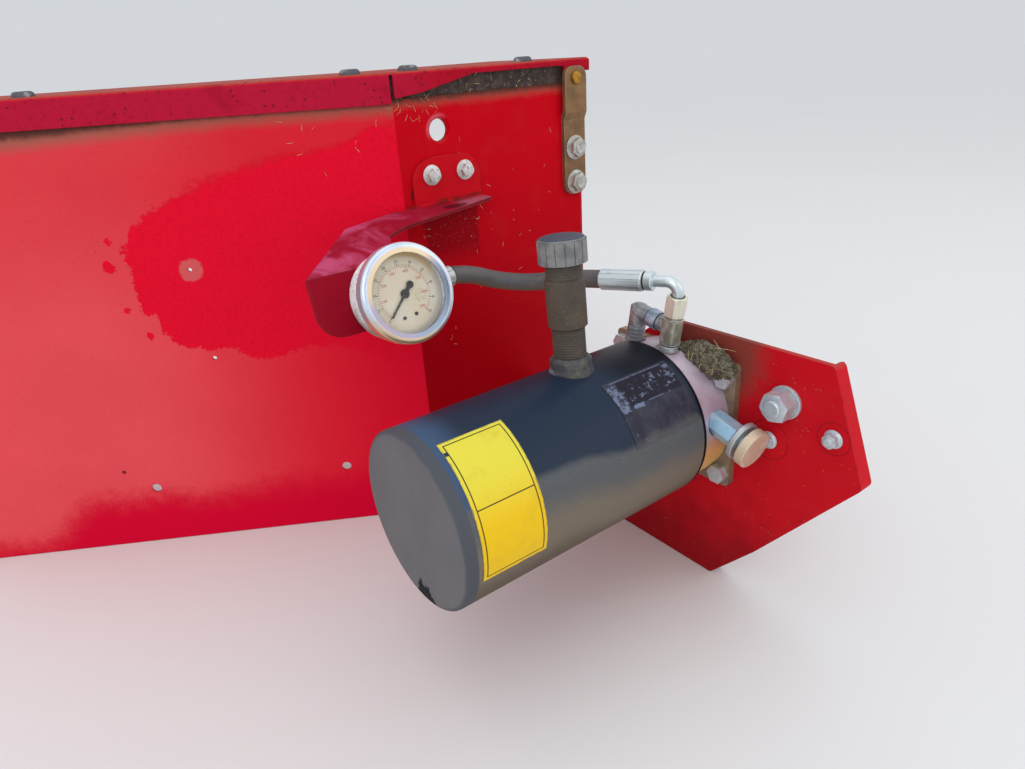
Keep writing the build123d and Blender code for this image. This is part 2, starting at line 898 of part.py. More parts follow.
branch_axis = Plane(
    origin=tee_seat.offset(branch_height).origin,
    x_dir=(1, 0, 0),
    z_dir=(0, branch_y, branch_z),
)
with BuildPart() as tee_body:
    stack(tee_seat, [(adapter_top, tee_top - adapter_top, tee_radius, 0)])
    stack(branch_axis, [(0, branch_stub, branch_radius, 0)])
finish(tee_body.part, "tee_body")

with BuildPart() as branch_elbow:
    stack(
        branch_axis,
        [
            (branch_stub, branch_reach - branch_stub, branch_radius, 0),
            (branch_stub, collar_length, collar_radius, 0),
        ],
    )
    with Locations(branch_axis.offset(branch_reach)):
        Sphere(branch_radius)
    stack(
        leg_axis,
        [(leg_seat, branch_height - leg_seat, leg_radius, 0)]
        + [
            (branch_height - leg_rib_start - rib * leg_rib_pitch, leg_rib_width, leg_rib_radius, 0)
            for rib in range(leg_ribs)
        ],
    )
finish(branch_elbow.part, "branch_elbow")

with BuildPart() as swivel_nut:
    with BuildSketch(tee_seat.offset(tee_top)):
        RegularPolygon(hex_radius(swivel_flats), 6, rotation=swivel_turn)
    extrude(amount=swivel_height)
    nut_ends = swivel_nut.faces().sort_by(Axis.Z)
    chamfer(nut_ends[-1].edges(), swivel_edge)
finish(swivel_nut.part, "swivel_nut")

# Steel tube of the hose end: up from the swivel nut, then over to the crimp
tee_hose_end = hose_route[-1]
tube_top = tee_seat.offset(tube_corner).origin
crimp_way = (Vector(*tee_hose_end) - Vector(*hose_route[-2])).normalized()
crimp_end = Vector(*tee_hose_end) + crimp_way * (crimp_length + crimp_collar)
with BuildPart() as bent_tube:
    with BuildLine() as tube_path:
        FilletPolyline(tee_seat.offset(swivel_top).origin, tube_top, crimp_end, radius=tube_bend)
    with BuildSketch(Plane(origin=tube_path.line @ 0, z_dir=tube_path.line % 0)):
        Circle(tube_radius)
    sweep()
finish(bent_tube.part, "bent_tube")


def crimp(plane):
    """Adds a hose crimp with its collar, from the hose's end outwards."""
    stack(plane, [(0, crimp_length, crimp_radius, 0)])
    builder_edges = edges().filter_by(GeomType.CIRCLE)
    fillet(builder_edges, crimp_edge)
    stack(plane, [(crimp_length, crimp_collar, crimp_collar_radius, 0)])


with BuildPart() as tee_crimp:
    crimp(Plane(origin=tee_hose_end, z_dir=crimp_way))
finish(tee_crimp.part, "tee_crimp")

gauge_hose_end = hose_route[0]
gauge_way = (Vector(*hose_route[0]) - Vector(*hose_route[1])).normalized()
with BuildPart() as gauge_crimp:
    crimp(Plane(origin=gauge_hose_end, z_dir=gauge_way))
finish(gauge_crimp.part, "gauge_crimp")

# Pressure hose between the two crimps
with BuildPart() as pressure_hose:
    with BuildLine() as hose_path:
        FilletPolyline(*hose_route, radius=hose_radii)
    with BuildSketch(Plane(origin=gauge_hose_end, z_dir=hose_path.line % 0)):
        Circle(hose_radius)
    sweep()
finish(pressure_hose.part, "pressure_hose")
hose_length = sum(edge.length for edge in hose_path.edges())
hose_ratio = pressure_hose.part.volume / (pi * hose_radius**2 * hose_length)
print("hose radii", hose_radii, "length", round(hose_length, 1), "volume ratio", round(hose_ratio, 4))

# Gauge: its dial faces the viewer and leans back
gauge_lean = radians(gauge_tilt)
dial_plane = Plane(
    origin=(gauge_x, gauge_y, gauge_z),
    x_dir=(1, 0, 0),
    z_dir=(0, -cos(gauge_lean), sin(gauge_lean)),
)
dial_back = case_front - recess_depth
dial_front = dial_back + dial_thick
with BuildPart() as gauge_case:
    stack(dial_plane, [(case_back, case_front - case_back, case_radius, 0)])
    back_rim = gauge_case.faces().filter_by(GeomType.PLANE).sort_by(Axis.Y)[-1].edges()
    fillet(back_rim, case_edge)
    with Locations(dial_plane.offset(case_front)):
        Hole(recess_radius, recess_depth)
finish(gauge_case.part, "gauge_case")

with BuildPart() as gauge_dial:
    stack(
        dial_plane,
        [
            (dial_back, dial_thick, recess_radius - dial_gap, 0),
            (dial_front, pointer_rise + 2 * pointer_thick, pin_radius, 0),
        ],
    )
finish(gauge_dial.part, "gauge_dial")

with BuildPart() as gauge_bezel:
    stack(dial_plane, [(bezel_back, bezel_front - bezel_back, bezel_radius, 0)])
    front_rim = gauge_bezel.faces().filter_by(GeomType.PLANE).sort_by(Axis.Y)[0].edges()
    fillet(front_rim, bezel_round)
    with Locations(dial_plane.offset(bezel_front)):
        Hole(bezel_lip)
    with Locations(Plane(origin=dial_plane.offset(bezel_back).origin, x_dir=(1, 0, 0), z_dir=-dial_plane.z_dir)):
        Hole(case_radius + seat_clear, case_front - bezel_back + lens_thick)
finish(gauge_bezel.part, "gauge_bezel")

with BuildPart() as gauge_lens:
    stack(dial_plane, [(case_front + seat_clear, lens_thick - 2 * seat_clear, case_radius - seat_clear, 0)])
finish(gauge_lens.part, "gauge_lens")

# Pointer on its pin; the angle is clockwise from the top of the dial
pointer_base = dial_plane.offset(dial_front + pointer_rise)
pointer_turn = 90 - pointer_rest
with BuildPart() as gauge_pointer:
    with BuildSketch(pointer_base):
        Circle(pointer_hub)
        with PolarLocations(0, 1, start_angle=pointer_turn):
            Rectangle(pointer_tip, pointer_width, align=(Align.MIN, Align.CENTER))
        with PolarLocations(pointer_tail, 1, start_angle=pointer_turn + 180):
            Circle(pointer_tail_radius)
            Rectangle(pointer_tail, 2 * pointer_width, align=(Align.MAX, Align.CENTER))
    extrude(amount=pointer_thick)
    with Locations(pointer_base.offset(pointer_thick)):
        Hole(pin_radius + pin_fit)
finish(gauge_pointer.part, "gauge_pointer")

# Stem and elbow behind the gauge, reaching the hose crimp
elbow_centre = dial_plane.offset(elbow_back).origin
gauge_crimp_end = Vector(*gauge_hose_end) + gauge_way * (crimp_length + crimp_collar)
elbow_way = (gauge_crimp_end - elbow_centre).normalized()
with BuildPart() as gauge_elbow:
    outlet = Plane(origin=elbow_centre, z_dir=elbow_way)
    with Locations(outlet):
        Sphere(elbow_radius)
    stack(outlet, [(0, (gauge_crimp_end - elbow_centre).length - seat_clear, outlet_radius, 0)])
    stack(dial_plane, [(elbow_back, case_back - elbow_back, stem_radius, 0)])
finish(gauge_elbow.part, "gauge_elbow")

face_back = case_back - bracket_thick
with BuildPart() as gauge_locknut:
    stack(dial_plane, [(face_back - locknut_thick, locknut_thick, hex_radius(locknut_flats), 6)])
    with Locations(dial_plane.offset(face_back)):
        Hole(elbow_radius + seat_clear)
finish(gauge_locknut.part, "gauge_locknut")

# Bracket: tab on the panel, sloping arm, face plate behind the gauge
arm_lean = radians(arm_slope)
arm_plane = Plane(
    origin=(0, panel_front_y, arm_root_z),
    x_dir=(1, 0, 0),
    z_dir=(0, -sin(arm_lean), cos(arm_lean)),
)
with BuildPart() as gauge_bracket:
    tab_middle_x = (tab_left_x + tab_right_x) / 2
    with BuildSketch(front(tab_middle_x, arm_root_z - bracket_thick)) as tab:
        Rectangle(
            tab_right_x - tab_left_x,
            tab_top_z - arm_root_z + bracket_thick,
            align=(Align.CENTER, Align.MIN),
        )
        fillet(tab.vertices().group_by(Axis.Y)[-1], tab_corner)
    extrude(amount=bracket_thick)
    with BuildSketch(arm_plane):
        Polygon(*[(x, (y - panel_front_y) / cos(arm_lean)) for x, y in arm_outline], align=None)
    extrude(amount=-bracket_thick)
    with BuildSketch(dial_plane.offset(face_back)) as face:
        with Locations(((face_right - face_left) / 2, (face_top - face_bottom) / 2)):
            Rectangle(face_left + face_right, face_top + face_bottom)
        fillet(face.vertices().group_by(Axis.Y)[0], face_corner)
    extrude(amount=bracket_thick)
    with Locations(dial_plane.offset(case_back)):
        Hole(stem_radius + bolt_clear, bracket_thick)
    with Locations(*tab_places):
        Hole(m8_radius + bolt_clear)
    split(bisect_by=front(0, 0), keep=Keep.TOP)
finish(gauge_bracket.part, "gauge_bracket")

with BuildPart() as bracket_bolts:
    for place in tab_places:
        stack(
            place,
            [
                (-sheet - nut_height, nut_height, hex_radius(m8_flats), 6),
                (-sheet - nut_height, sheet + nut_height + bracket_thick, m8_radius, 0),
                (bracket_thick, flange_thick, m8_flange, 0),
                (bracket_thick, head_height, hex_radius(m8_small_flats), 6),
            ],
        )
finish(bracket_bolts.part, "bracket_bolts")

# Relief valve: hexagon body, lock ring and knob
with BuildPart() as relief_body:
    stack(
        relief_axis,
        [
            (-relief_seat, relief_hex_end + relief_seat, hex_radius(relief_flats), 6),
            (relief_hex_end, knob_start - relief_hex_end, relief_stem_radius, 0),
        ],
    )
finish(relief_body.part, "relief_body")

with BuildPart() as relief_ring:
    stack(relief_axis, [(ring_start, ring_thick, ring_radius, 0)])
    fillet(relief_ring.edges(), knob_edge)
    with Locations(relief_axis.offset(knob_start)):
        Hole(relief_stem_radius + seat_clear)
finish(relief_ring.part, "relief_ring")

with BuildPart() as relief_knob:
    stack(relief_axis, [(knob_start, knob_thick, knob_radius, 0)])
    fillet(relief_knob.edges(), knob_edge)
finish(relief_knob.part, "relief_knob")
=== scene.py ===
import math

import bmesh
import bpy
from bpy.props import FloatProperty, FloatVectorProperty, IntProperty, PointerProperty
from mathutils import Matrix, Vector, noise


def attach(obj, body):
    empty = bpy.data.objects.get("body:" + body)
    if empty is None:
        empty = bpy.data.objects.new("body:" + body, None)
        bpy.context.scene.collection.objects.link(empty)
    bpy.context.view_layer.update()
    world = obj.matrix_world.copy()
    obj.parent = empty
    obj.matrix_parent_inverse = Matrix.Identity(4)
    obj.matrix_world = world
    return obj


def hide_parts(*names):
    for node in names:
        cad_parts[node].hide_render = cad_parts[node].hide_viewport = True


bl_info = {
    "name": "Bale tension unit",
    "version": (1, 0, 0),
    "blender": (4, 5, 0),
    "location": "3D View > Sidebar > Tension unit",
    "description": "Paint, fittings, gauge print and stage of a baler's hydraulic tension unit",
    "category": "Add Mesh",
}

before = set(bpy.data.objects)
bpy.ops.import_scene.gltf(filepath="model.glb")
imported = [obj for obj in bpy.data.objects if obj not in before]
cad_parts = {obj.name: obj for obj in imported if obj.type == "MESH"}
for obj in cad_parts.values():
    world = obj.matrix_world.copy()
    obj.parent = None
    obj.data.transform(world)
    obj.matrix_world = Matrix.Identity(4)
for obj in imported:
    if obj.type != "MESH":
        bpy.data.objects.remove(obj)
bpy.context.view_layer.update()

MM = 0.001
RIGHT, LEFT, FRONT, UP = (1, 0, 0), (-1, 0, 0), (0, -1, 0), (0, 0, 1)

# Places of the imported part, in metres
TANK_START_X, TANK_Y, TANK_Z, TANK_RADIUS = -0.3265, -0.2485, -0.0515, 0.060
PANEL_Y, PANEL_BOTTOM_Z = -0.060, -0.194
FOLD_POINT = Vector((-0.205, PANEL_Y, 0))
FOLD_ANGLE = math.radians(30.84)
LEG_WAY = Vector((math.cos(FOLD_ANGLE), -math.sin(FOLD_ANGLE), 0))
LEG_OUT = Vector((-math.sin(FOLD_ANGLE), -math.cos(FOLD_ANGLE), 0))
GUSSET_X = -0.086
SMALL_NUT, LOW_NUT = (GUSSET_X, -0.3805, -0.0315), (GUSSET_X, -0.334, -0.051)
NECK_X = -0.1905
NECK_LEAN = math.radians(4.0)
NECK_WAY = (0, math.sin(NECK_LEAN), math.cos(NECK_LEAN))
PORT_X = -0.1083
PORT_CLOCK = math.radians(10.0)
TEE_WAY = Vector((0, -math.sin(PORT_CLOCK), math.cos(PORT_CLOCK)))
BRANCH_WAY = Vector((0, math.cos(PORT_CLOCK), math.sin(PORT_CLOCK)))
BRANCH_HEIGHT, BRANCH_REACH = 0.0730, 0.0330
DIAL_CENTRE = Vector((-0.2683, -0.1689, 0.0652))
DIAL_TILT = math.radians(16.9)
DIAL_OUT = (0, -math.cos(DIAL_TILT), math.sin(DIAL_TILT))
DIAL_FACE = -0.0065

# Route of the hose from the gauge to the tee, in millimetres as in the part's source, and how far it sags
HOSE_ROUTE = [
    (-208.8, -128.7, 56.25),
    (-194.0, -128.7, 57.0),
    (-172.0, -134.3, 49.4),
    (-153.9, -149.6, 45.5),
    (-143.2, -172.5, 47.2),
    (-136.06, -190.55, 49.86),
    (-129.06, -209.96, 51.47),
]
HOSE_SAG = (0.0, 2.2, 4.2, 3.4, 1.2, 0.0, 0.0)

# Outline of the oily patch: turn in degrees about its middle, and reach in metres
PATCH_RUN, PATCH_HEIGHT, PATCH_REACH = -0.120, 0.060, 0.200
PATCH_OUTLINE = (
    (0, 0.150), (40, 0.157), (49, 0.120), (67, 0.094), (94, 0.078), (113, 0.078), (129, 0.083), (140, 0.086),
    (148, 0.095), (155, 0.101), (161, 0.106), (170, 0.108), (178, 0.102), (188, 0.109), (195, 0.107),
    (200, 0.100), (208, 0.104), (219, 0.0995), (228, 0.090), (241, 0.080), (252, 0.082), (264, 0.0815),
    (279, 0.0755), (297, 0.082), (307, 0.096), (325, 0.150), (360, 0.150),
)
# Drops beside the patch: run, height and radius in metres
PATCH_DROPS = (
    (-0.241, 0.071, 0.0050), (-0.236, 0.091, 0.0024), (-0.237, 0.033, 0.0024), (-0.225, 0.010, 0.0030),
    (-0.247, 0.084, 0.0014), (-0.233, 0.048, 0.0016), (-0.205, -0.012, 0.0018),
)


def screen(red, green, blue):
    """A colour as a screen shows it, from 0 to 255, turned into light."""
    return tuple(((part / 255 + 0.055) / 1.055) ** 2.4 for part in (red, green, blue))


def colour_setting(name, description, default):
    """A colour that the panel shows."""
    return FloatVectorProperty(
        name=name, description=description, default=default, subtype="COLOR", size=3, min=0, max=1
    )


def length_setting(name, description, default):
    """A length that the panel shows."""
    return FloatProperty(name=name, description=description, default=default, unit="LENGTH", precision=5)


def power_setting(name, description, default):
    """A lamp's power that the panel shows."""
    return FloatProperty(name=name, description=description, default=default, unit="POWER")


def count_setting(name, description, default, least):
    """A number of like pieces that the panel shows."""
    return IntProperty(name=name, description=description, default=default, min=least)


class PaintSettings(bpy.types.PropertyGroup):
    """Colours of the paints, plates and dirt"""

    red: colour_setting("Red", "Enamel where it is clean or oily", screen(200, 1, 24))
    faded_red: colour_setting("Faded red", "Enamel that the sun has faded", screen(232, 88, 94))
    tank: colour_setting("Tank", "Dark enamel of the tank", screen(33, 46, 64))
    tank_end: colour_setting("Tank end", "Dull face of the tank's closed end", screen(100, 101, 105))
    label: colour_setting("Label", "Blank yellow label", screen(236, 192, 14))
    dust: colour_setting("Dust", "Dry field dust", screen(122, 104, 84))
    grime: colour_setting("Grime", "Greasy dirt", screen(40, 32, 28))
    chaff: colour_setting("Chaff", "Bits of straw", screen(214, 190, 138))


class FittingSettings(bpy.types.PropertyGroup):
    """Sizes of the small fittings"""

    hose_diameter: length_setting("Hose diameter", "Outside diameter of the hose", 0.0136)
    thread_pitch: length_setting("Thread pitch", "Pitch of the pipe threads", 0.0018)
    cap_ribs: count_setting("Cap ribs", "Flats round the filler cap", 16, 3)
    crimp_ribs: count_setting("Crimp ribs", "Flats round each hose crimp", 12, 3)
    outer_marks: count_setting("Outer marks", "Marks on the outer scale", 51, 2)
    inner_marks: count_setting("Inner marks", "Marks on the inner scale", 71, 2)


class StageSettings(bpy.types.PropertyGroup):
    """Floor, lamps and camera"""

    floor: colour_setting("Floor", "Colour of the floor", (0.78, 0.775, 0.765))
    backdrop: colour_setting("Backdrop", "Colour behind the object", (0.652, 0.672, 0.701))
    key_power: power_setting("Key lamp", "Lamp on the left", 13.0)
    fill_power: power_setting("Fill lamp", "Lamp on the right", 6.0)
    top_power: power_setting("Top lamp", "Lamp above", 7.0)
    sky: FloatProperty(name="Sky", description="Strength of the soft light all round", default=0.9)
    lens: FloatProperty(
        name="Lens", description="Focal length in millimetres", default=25.363, subtype="DISTANCE_CAMERA"
    )


def maths_on(operation, swapped=False):
    """A method that is one Math node on the signal and another term."""

    def act(self, other):
        return self.maths(operation, *((other, self) if swapped else (self, other)))

    return act


class Signal:
    """The output of a node, which takes part in plain sums; over and under are the larger and the smaller."""

    def __init__(self, graph, socket):
        self.graph = graph
        self.socket = socket

    def maths(self, operation, *terms):
        """A Math node on these terms."""
        return self.graph.node("ShaderNodeMath", terms, operation=operation)

    __add__ = __radd__ = maths_on("ADD")
    __mul__ = __rmul__ = maths_on("MULTIPLY")
    __sub__, __rsub__ = maths_on("SUBTRACT"), maths_on("SUBTRACT", swapped=True)
    __truediv__, __rtruediv__ = maths_on("DIVIDE"), maths_on("DIVIDE", swapped=True)
    __pow__, over, under = maths_on("POWER"), maths_on("MAXIMUM"), maths_on("MINIMUM")

    def size(self):
        """How far it is from 0."""
        return self.maths("ABSOLUTE", self)

    def ramp(self, low, high, start=0.0, end=1.0):
        """Goes smoothly from start to end as the signal goes from low to high."""
        sockets = {"Value": self, "From Min": low, "From Max": high, "To Min": start, "To Max": end}
        return self.graph.node("ShaderNodeMapRange", sockets, interpolation_type="SMOOTHSTEP")

    def other(self, output):
        """Another output of the same node."""
        return Signal(self.graph, self.socket.node.outputs[output])


class Graph:
    """A node tree that is being built."""

    def __init__(self, tree):
        self.tree = tree

    def node(self, kind, sockets=(), output=0, **settings):
        """Adds a node: its settings first, then its sockets, in order or by name or place."""
        made = self.tree.nodes.new(kind)
        for name, value in settings.items():
            setattr(made, name, value)
        for place, value in (sockets if isinstance(sockets, dict) else dict(enumerate(sockets))).items():
            if isinstance(value, (Signal, list)):
                for signal in value if isinstance(value, list) else [value]:
                    self.tree.links.new(signal.socket, made.inputs[place])
            else:
                made.inputs[place].default_value = value
        return Signal(self, made.outputs[output]) if made.outputs else None

    def vector(self, operation, *terms, output=0):
        """A Vector Math node on these terms."""
        return self.node("ShaderNodeVectorMath", terms, output, operation=operation)

    def xyz(self, x=0.0, y=0.0, z=0.0):
        """A vector of three parts."""
        return self.node("ShaderNodeCombineXYZ", (x, y, z))


def full(colour):
    """A colour as its socket takes it."""
    return colour if isinstance(colour, Signal) else (*tuple(colour)[:3], 1.0)


class Finish(Graph):
    """A material made of nodes, on the piece's own coordinates, with the colour that has been laid so far.
    A plain tuple stands for a screen colour from 0 to 255."""

    def __init__(self, name, base=(255, 255, 255)):
        self.material = bpy.data.materials.new(name)
        self.material.use_nodes = True
        super().__init__(self.material.node_tree)
        self.tree.nodes.clear()
        self.place = self.node("ShaderNodeTexCoord", output=3)
        self.facing = self.node("ShaderNodeNewGeometry", output=1)
        self.colour = screen(*base) if isinstance(base, tuple) else base

    def mixed(self, first, second, mask):
        """The second colour over the first where the mask is 1."""
        sockets = {0: mask, 6: full(first), 7: full(second)}
        return self.node("ShaderNodeMix", sockets, 2, data_type="RGBA", clamp_factor=True)

    def lay(self, colour, mask):
        """Lays a colour over what is there, where the mask is 1."""
        self.colour = self.mixed(self.colour, screen(*colour) if isinstance(colour, tuple) else colour, mask)

    def mapped(self, centre=(0, 0, 0), turn=(0, 0, 0), stretch=(1, 1, 1)):
        """Coordinates about a centre, turned and stretched."""
        sockets = {"Vector": self.place, "Location": centre, "Rotation": turn, "Scale": stretch}
        return self.node("ShaderNodeMapping", sockets, vector_type="TEXTURE")

    def noise(self, scale, detail=4.0, roughness=0.55, at=None, distortion=0.0):
        """Cloudy noise from 0 to 1."""
        sockets = {"Vector": at or self.place, "Scale": scale, "Detail": detail}
        return self.node("ShaderNodeTexNoise", {**sockets, "Roughness": roughness, "Distortion": distortion})

    def cloudy(self, low, high, *noise):
        """Where noise of this scale, detail and roughness goes from low to high."""
        return self.noise(*noise).ramp(low, high)

    def shaken(self, signal, reach, *noise):
        """A signal with noise of this scale, detail and roughness added, in all this far."""
        return signal + (self.noise(*noise) - 0.5) * reach

    def specks(self, scale, size, share=0.5):
        """Small spots at a share of the scattered points."""
        kept = self.cloudy(0.62 - 0.25 * share, 0.66 - 0.25 * share, scale * 0.6, 1.0)
        cells = self.node("ShaderNodeTexVoronoi", {"Vector": self.place, "Scale": scale}, feature="F1")
        return cells.ramp(size, size * 0.6) * kept

    def curve(self, signal, points):
        """A smooth curve through points whose place and height lie between 0 and 1."""
        made = self.node("ShaderNodeFloatCurve", {"Value": signal})
        mapping = made.socket.node.mapping
        line = mapping.curves[0]
        line.points[0].location, line.points[-1].location = points[0], points[-1]
        for place, height in points[1:-1]:
            line.points.new(place, height)
        mapping.update()
        return made

    def along(self, way, point=(0, 0, 0)):
        """Distance along a direction from a point."""
        moved = self.vector("SUBTRACT", self.place, tuple(point))
        return self.vector("DOT_PRODUCT", moved, tuple(way), output=1)

    def away(self, point):
        """Distance from a point."""
        return self.vector("DISTANCE", self.place, tuple(point), output=1)

    def stretched(self, point, stretch):
        """Distance from a point, with each axis stretched."""
        moved = self.vector("MULTIPLY", self.vector("SUBTRACT", self.place, point), stretch)
        return self.vector("LENGTH", moved, output=1)

    def faces(self, way):
        """How far the surface looks that way, from -1 to 1."""
        return self.vector("DOT_PRODUCT", self.facing, way, output=1)

    def soft_corners(self, radius):
        """The surface's normal with its sharp corners rounded off."""
        return self.node("ShaderNodeBevel", {"Radius": radius}, samples=4)

    def edges(self, radius):
        """1 along sharp corners and 0 elsewhere."""
        return 1 - self.vector("DOT_PRODUCT", self.soft_corners(radius), self.facing, output=1)

    def rubbed(self, radius, scale, low, high):
        """Corners that are worn unevenly, with noise of this scale."""
        return (self.edges(radius) + self.noise(scale) * 0.08).ramp(low, high)

    def bump(self, height, depth, under=None):
        """Relief of this depth from a height between 0 and 1, over a normal or corners of this radius."""
        sockets = {"Strength": 1.0, "Distance": depth, "Height": height}
        if under is not None:
            sockets["Normal"] = under if isinstance(under, Signal) else self.soft_corners(under)
        return self.node("ShaderNodeBump", sockets)

    def close(self, roughness=0.5, normal=None, metallic=0.0, specular=None):
        """Ends the material with its shader and returns it."""
        sockets = {"Base Color": full(self.colour), "Roughness": roughness, "Metallic": metallic}
        for name, value in (("Normal", normal), ("Specular IOR Level", specular)):
            if value is not None:
                sockets[name] = value
        self.node("ShaderNodeOutputMaterial", {"Surface": self.node("ShaderNodeBsdfPrincipled", sockets)})
        return self.material


def added(name, data):
    """A new object in the scene."""
    item = bpy.data.objects.new(name, data)
    bpy.context.scene.collection.objects.link(item)
    return item


def mesh_after(carrier):
    """The mesh that an object shows, with the object taken away."""
    bpy.context.view_layer.update()
    mesh = bpy.data.meshes.new_from_object(carrier.evaluated_get(bpy.context.evaluated_depsgraph_get()))
    carrier.modifiers.clear()
    bpy.data.objects.remove(carrier)
    return mesh


class Shape(Graph):
    """A Geometry Nodes tree with named inputs."""

    KINDS = {"count": "Int", "way": "Vector", "object": "Object", "material": "Material"}

    def __init__(self, name, **inputs):
        super().__init__(bpy.data.node_groups.new(name, "GeometryNodeTree"))
        self.tree.is_modifier = True
        for side in ("INPUT", "OUTPUT"):
            self.tree.interface.new_socket("Geometry", in_out=side, socket_type="NodeSocketGeometry")
        self.names = {}
        for label, kind in inputs.items():
            socket = self.tree.interface.new_socket(
                label.capitalize(), in_out="INPUT", socket_type="NodeSocket" + self.KINDS.get(kind, "Float")
            )
            self.names[label] = socket.identifier
        self.entry = self.tree.nodes.new("NodeGroupInput")

    def given(self, *labels):
        """The values of named inputs, or the geometry that comes in."""
        sockets = {socket.identifier: Signal(self, socket) for socket in self.entry.outputs}
        if not labels:
            return Signal(self, self.entry.outputs["Geometry"])
        values = [sockets[self.names[label]] for label in labels]
        return values if len(values) > 1 else values[0]

    def bar(self, size, middle):
        """A box of this size about this point."""
        box = self.node("GeometryNodeMeshCube", {"Size": self.xyz(*size)})
        return self.node("GeometryNodeTransform", {"Geometry": box, "Translation": self.xyz(*middle)})

    def ring(self, item, count, turn):
        """The item this many times, turned about the Z axis."""
        points = self.node("GeometryNodePoints", {"Count": count})
        sockets = {"Points": points, "Instance": item, "Rotation": self.xyz(z=turn)}
        return self.node("GeometryNodeInstanceOnPoints", sockets)

    def tube(self, line, radius, sides):
        """A closed tube along a curve."""
        section = self.node(
            "GeometryNodeCurvePrimitiveCircle", {"Resolution": sides, "Radius": radius}, mode="RADIUS"
        )
        return self.node("GeometryNodeCurveToMesh", {"Curve": line, "Profile Curve": section, "Fill Caps": True})

    def chance(self, low, high, seed):
        """A number for each point, drawn between low and high."""
        return self.node("FunctionNodeRandomValue", {2: low, 3: high, "Seed": seed}, 1, data_type="FLOAT")

    def spun(self, lie, angle):
        """A rotation, turned further about its own Z axis."""
        spin = self.node("FunctionNodeAxisAngleToRotation", {"Axis": UP, "Angle": angle})
        return self.node("FunctionNodeRotateRotation", (lie, spin), rotation_space="LOCAL")

    def close(self, geometry):
        """Ends the tree with real geometry in the given material."""
        real = self.node("GeometryNodeRealizeInstances", (geometry,))
        painted = self.node("GeometryNodeSetMaterial", {"Geometry": real, "Material": self.given("material")})
        self.node("NodeGroupOutput", (painted,))
        return self

    def grow(self, mesh, **values):
        """Runs the tree on a mesh and returns the mesh that comes out."""
        carrier = added(self.tree.name, mesh)
        modifier = carrier.modifiers.new(self.tree.name, "NODES")
        modifier.node_group = self.tree
        for label, value in values.items():
            modifier[self.names[label]] = value
        return mesh_after(carrier)


def local_frame(origin, up):
    """Matrix whose Z runs along up, with X as near to the part's own X as it can be."""
    z_way = Vector(up).normalized()
    y_way = z_way.cross(Vector(RIGHT)).normalized()
    turned = Matrix((y_way.cross(z_way), y_way, z_way)).transposed().to_4x4()
    return Matrix.Translation(Vector(origin)) @ turned


NECK_FRAME = local_frame((NECK_X, TANK_Y, TANK_Z), NECK_WAY)
DIAL_FRAME = local_frame(DIAL_CENTRE, DIAL_OUT)
TEE_FRAME = local_frame((PORT_X, TANK_Y, TANK_Z), TEE_WAY)
BRANCH_FRAME = local_frame(TEE_FRAME @ Vector((0, 0, BRANCH_HEIGHT)), BRANCH_WAY)
LEG_FRAME = local_frame(Vector((PORT_X, TANK_Y, TANK_Z)) + BRANCH_WAY * BRANCH_REACH, TEE_WAY)


def placed(name, mesh, material=None, matrix=None, body="unit", replaced=()):
    """Puts a local mesh in its place as a piece of the object, shaded smooth but for sharp edges."""
    if matrix:
        mesh.transform(matrix)
    if material:
        mesh.materials.clear()
        mesh.materials.append(material)
    mesh.polygons.foreach_set("use_smooth", [True] * len(mesh.polygons))
    mesh.set_sharp_from_angle(angle=math.radians(35))
    piece = added(name, mesh)
    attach(piece, body)
    if replaced:
        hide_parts(*replaced)


def mesh_from(name, shape):
    """Ends a bmesh as a mesh."""
    mesh = bpy.data.meshes.new(name)
    shape.to_mesh(mesh)
    shape.free()
    return mesh


def mesh_of(name, *steps):
    """A mesh from steps that each add a closed solid."""
    shape = bmesh.new()
    for step in steps:
        step(shape)
    bmesh.ops.recalc_face_normals(shape, faces=shape.faces)
    return mesh_from(name, shape)


def sheet_of(name, points, faces=()):
    """A mesh from points and faces."""
    mesh = bpy.data.meshes.new(name)
    mesh.from_pydata(points, [], faces)
    return mesh


def turned(profile, sides=48, radius_at=None):
    """A step that adds a turned solid from (radius, height) points, both ends on the axis.
    radius_at may change a point's radius by its angle."""

    def add(shape):
        rings = []
        for radius, height in profile:
            ring = []
            for step in range(sides if radius else 1):
                angle = 2 * math.pi * step / sides
                reach = radius_at(radius, angle) if radius_at and radius else radius
                ring.append(shape.verts.new((reach * math.cos(angle), reach * math.sin(angle), height)))
            rings.append(ring)
        for low, high in zip(rings, rings[1:]):
            for step in range(sides):
                places = ((low, step), (low, step + 1), (high, step + 1), (high, step))
                corners = [ring[place % sides % len(ring)] for ring, place in places]
                shape.faces.new(list(dict.fromkeys(corners)))

    return add


def hexagon(start, height, flats, low_chamfer=True, high_chamfer=True):
    """A step that adds a hexagon with its corners turned off at 30 degrees."""
    sides = 48
    inner = flats / 2 * 0.96
    slope = math.tan(math.radians(30))
    sliver = 0.02 * MM

    def spot(level, angle):
        reach = flats / 2 / math.cos((angle + math.pi / 6) % (math.pi / 3) - math.pi / 6)
        cut = (reach - inner) * slope
        return (
            (inner if low_chamfer else reach, start),
            (reach, start + (cut if low_chamfer else sliver)),
            (reach, start + height - (cut if high_chamfer else sliver)),
            (inner if high_chamfer else reach, start + height),
        )[level]

    def add(shape):
        rings = []
        for level in range(4):
            ring = []
            for step in range(sides):
                angle = 2 * math.pi * step / sides
                radius, place = spot(level, angle)
                ring.append(shape.verts.new((radius * math.cos(angle), radius * math.sin(angle), place)))
            rings.append(ring)
        for low, high in zip(rings, rings[1:]):
            for step in range(sides):
                after = (step + 1) % sides
                shape.faces.new([low[step], low[after], high[after], high[step]])
        shape.faces.new(rings[0])
        shape.faces.new(rings[-1])

    return add


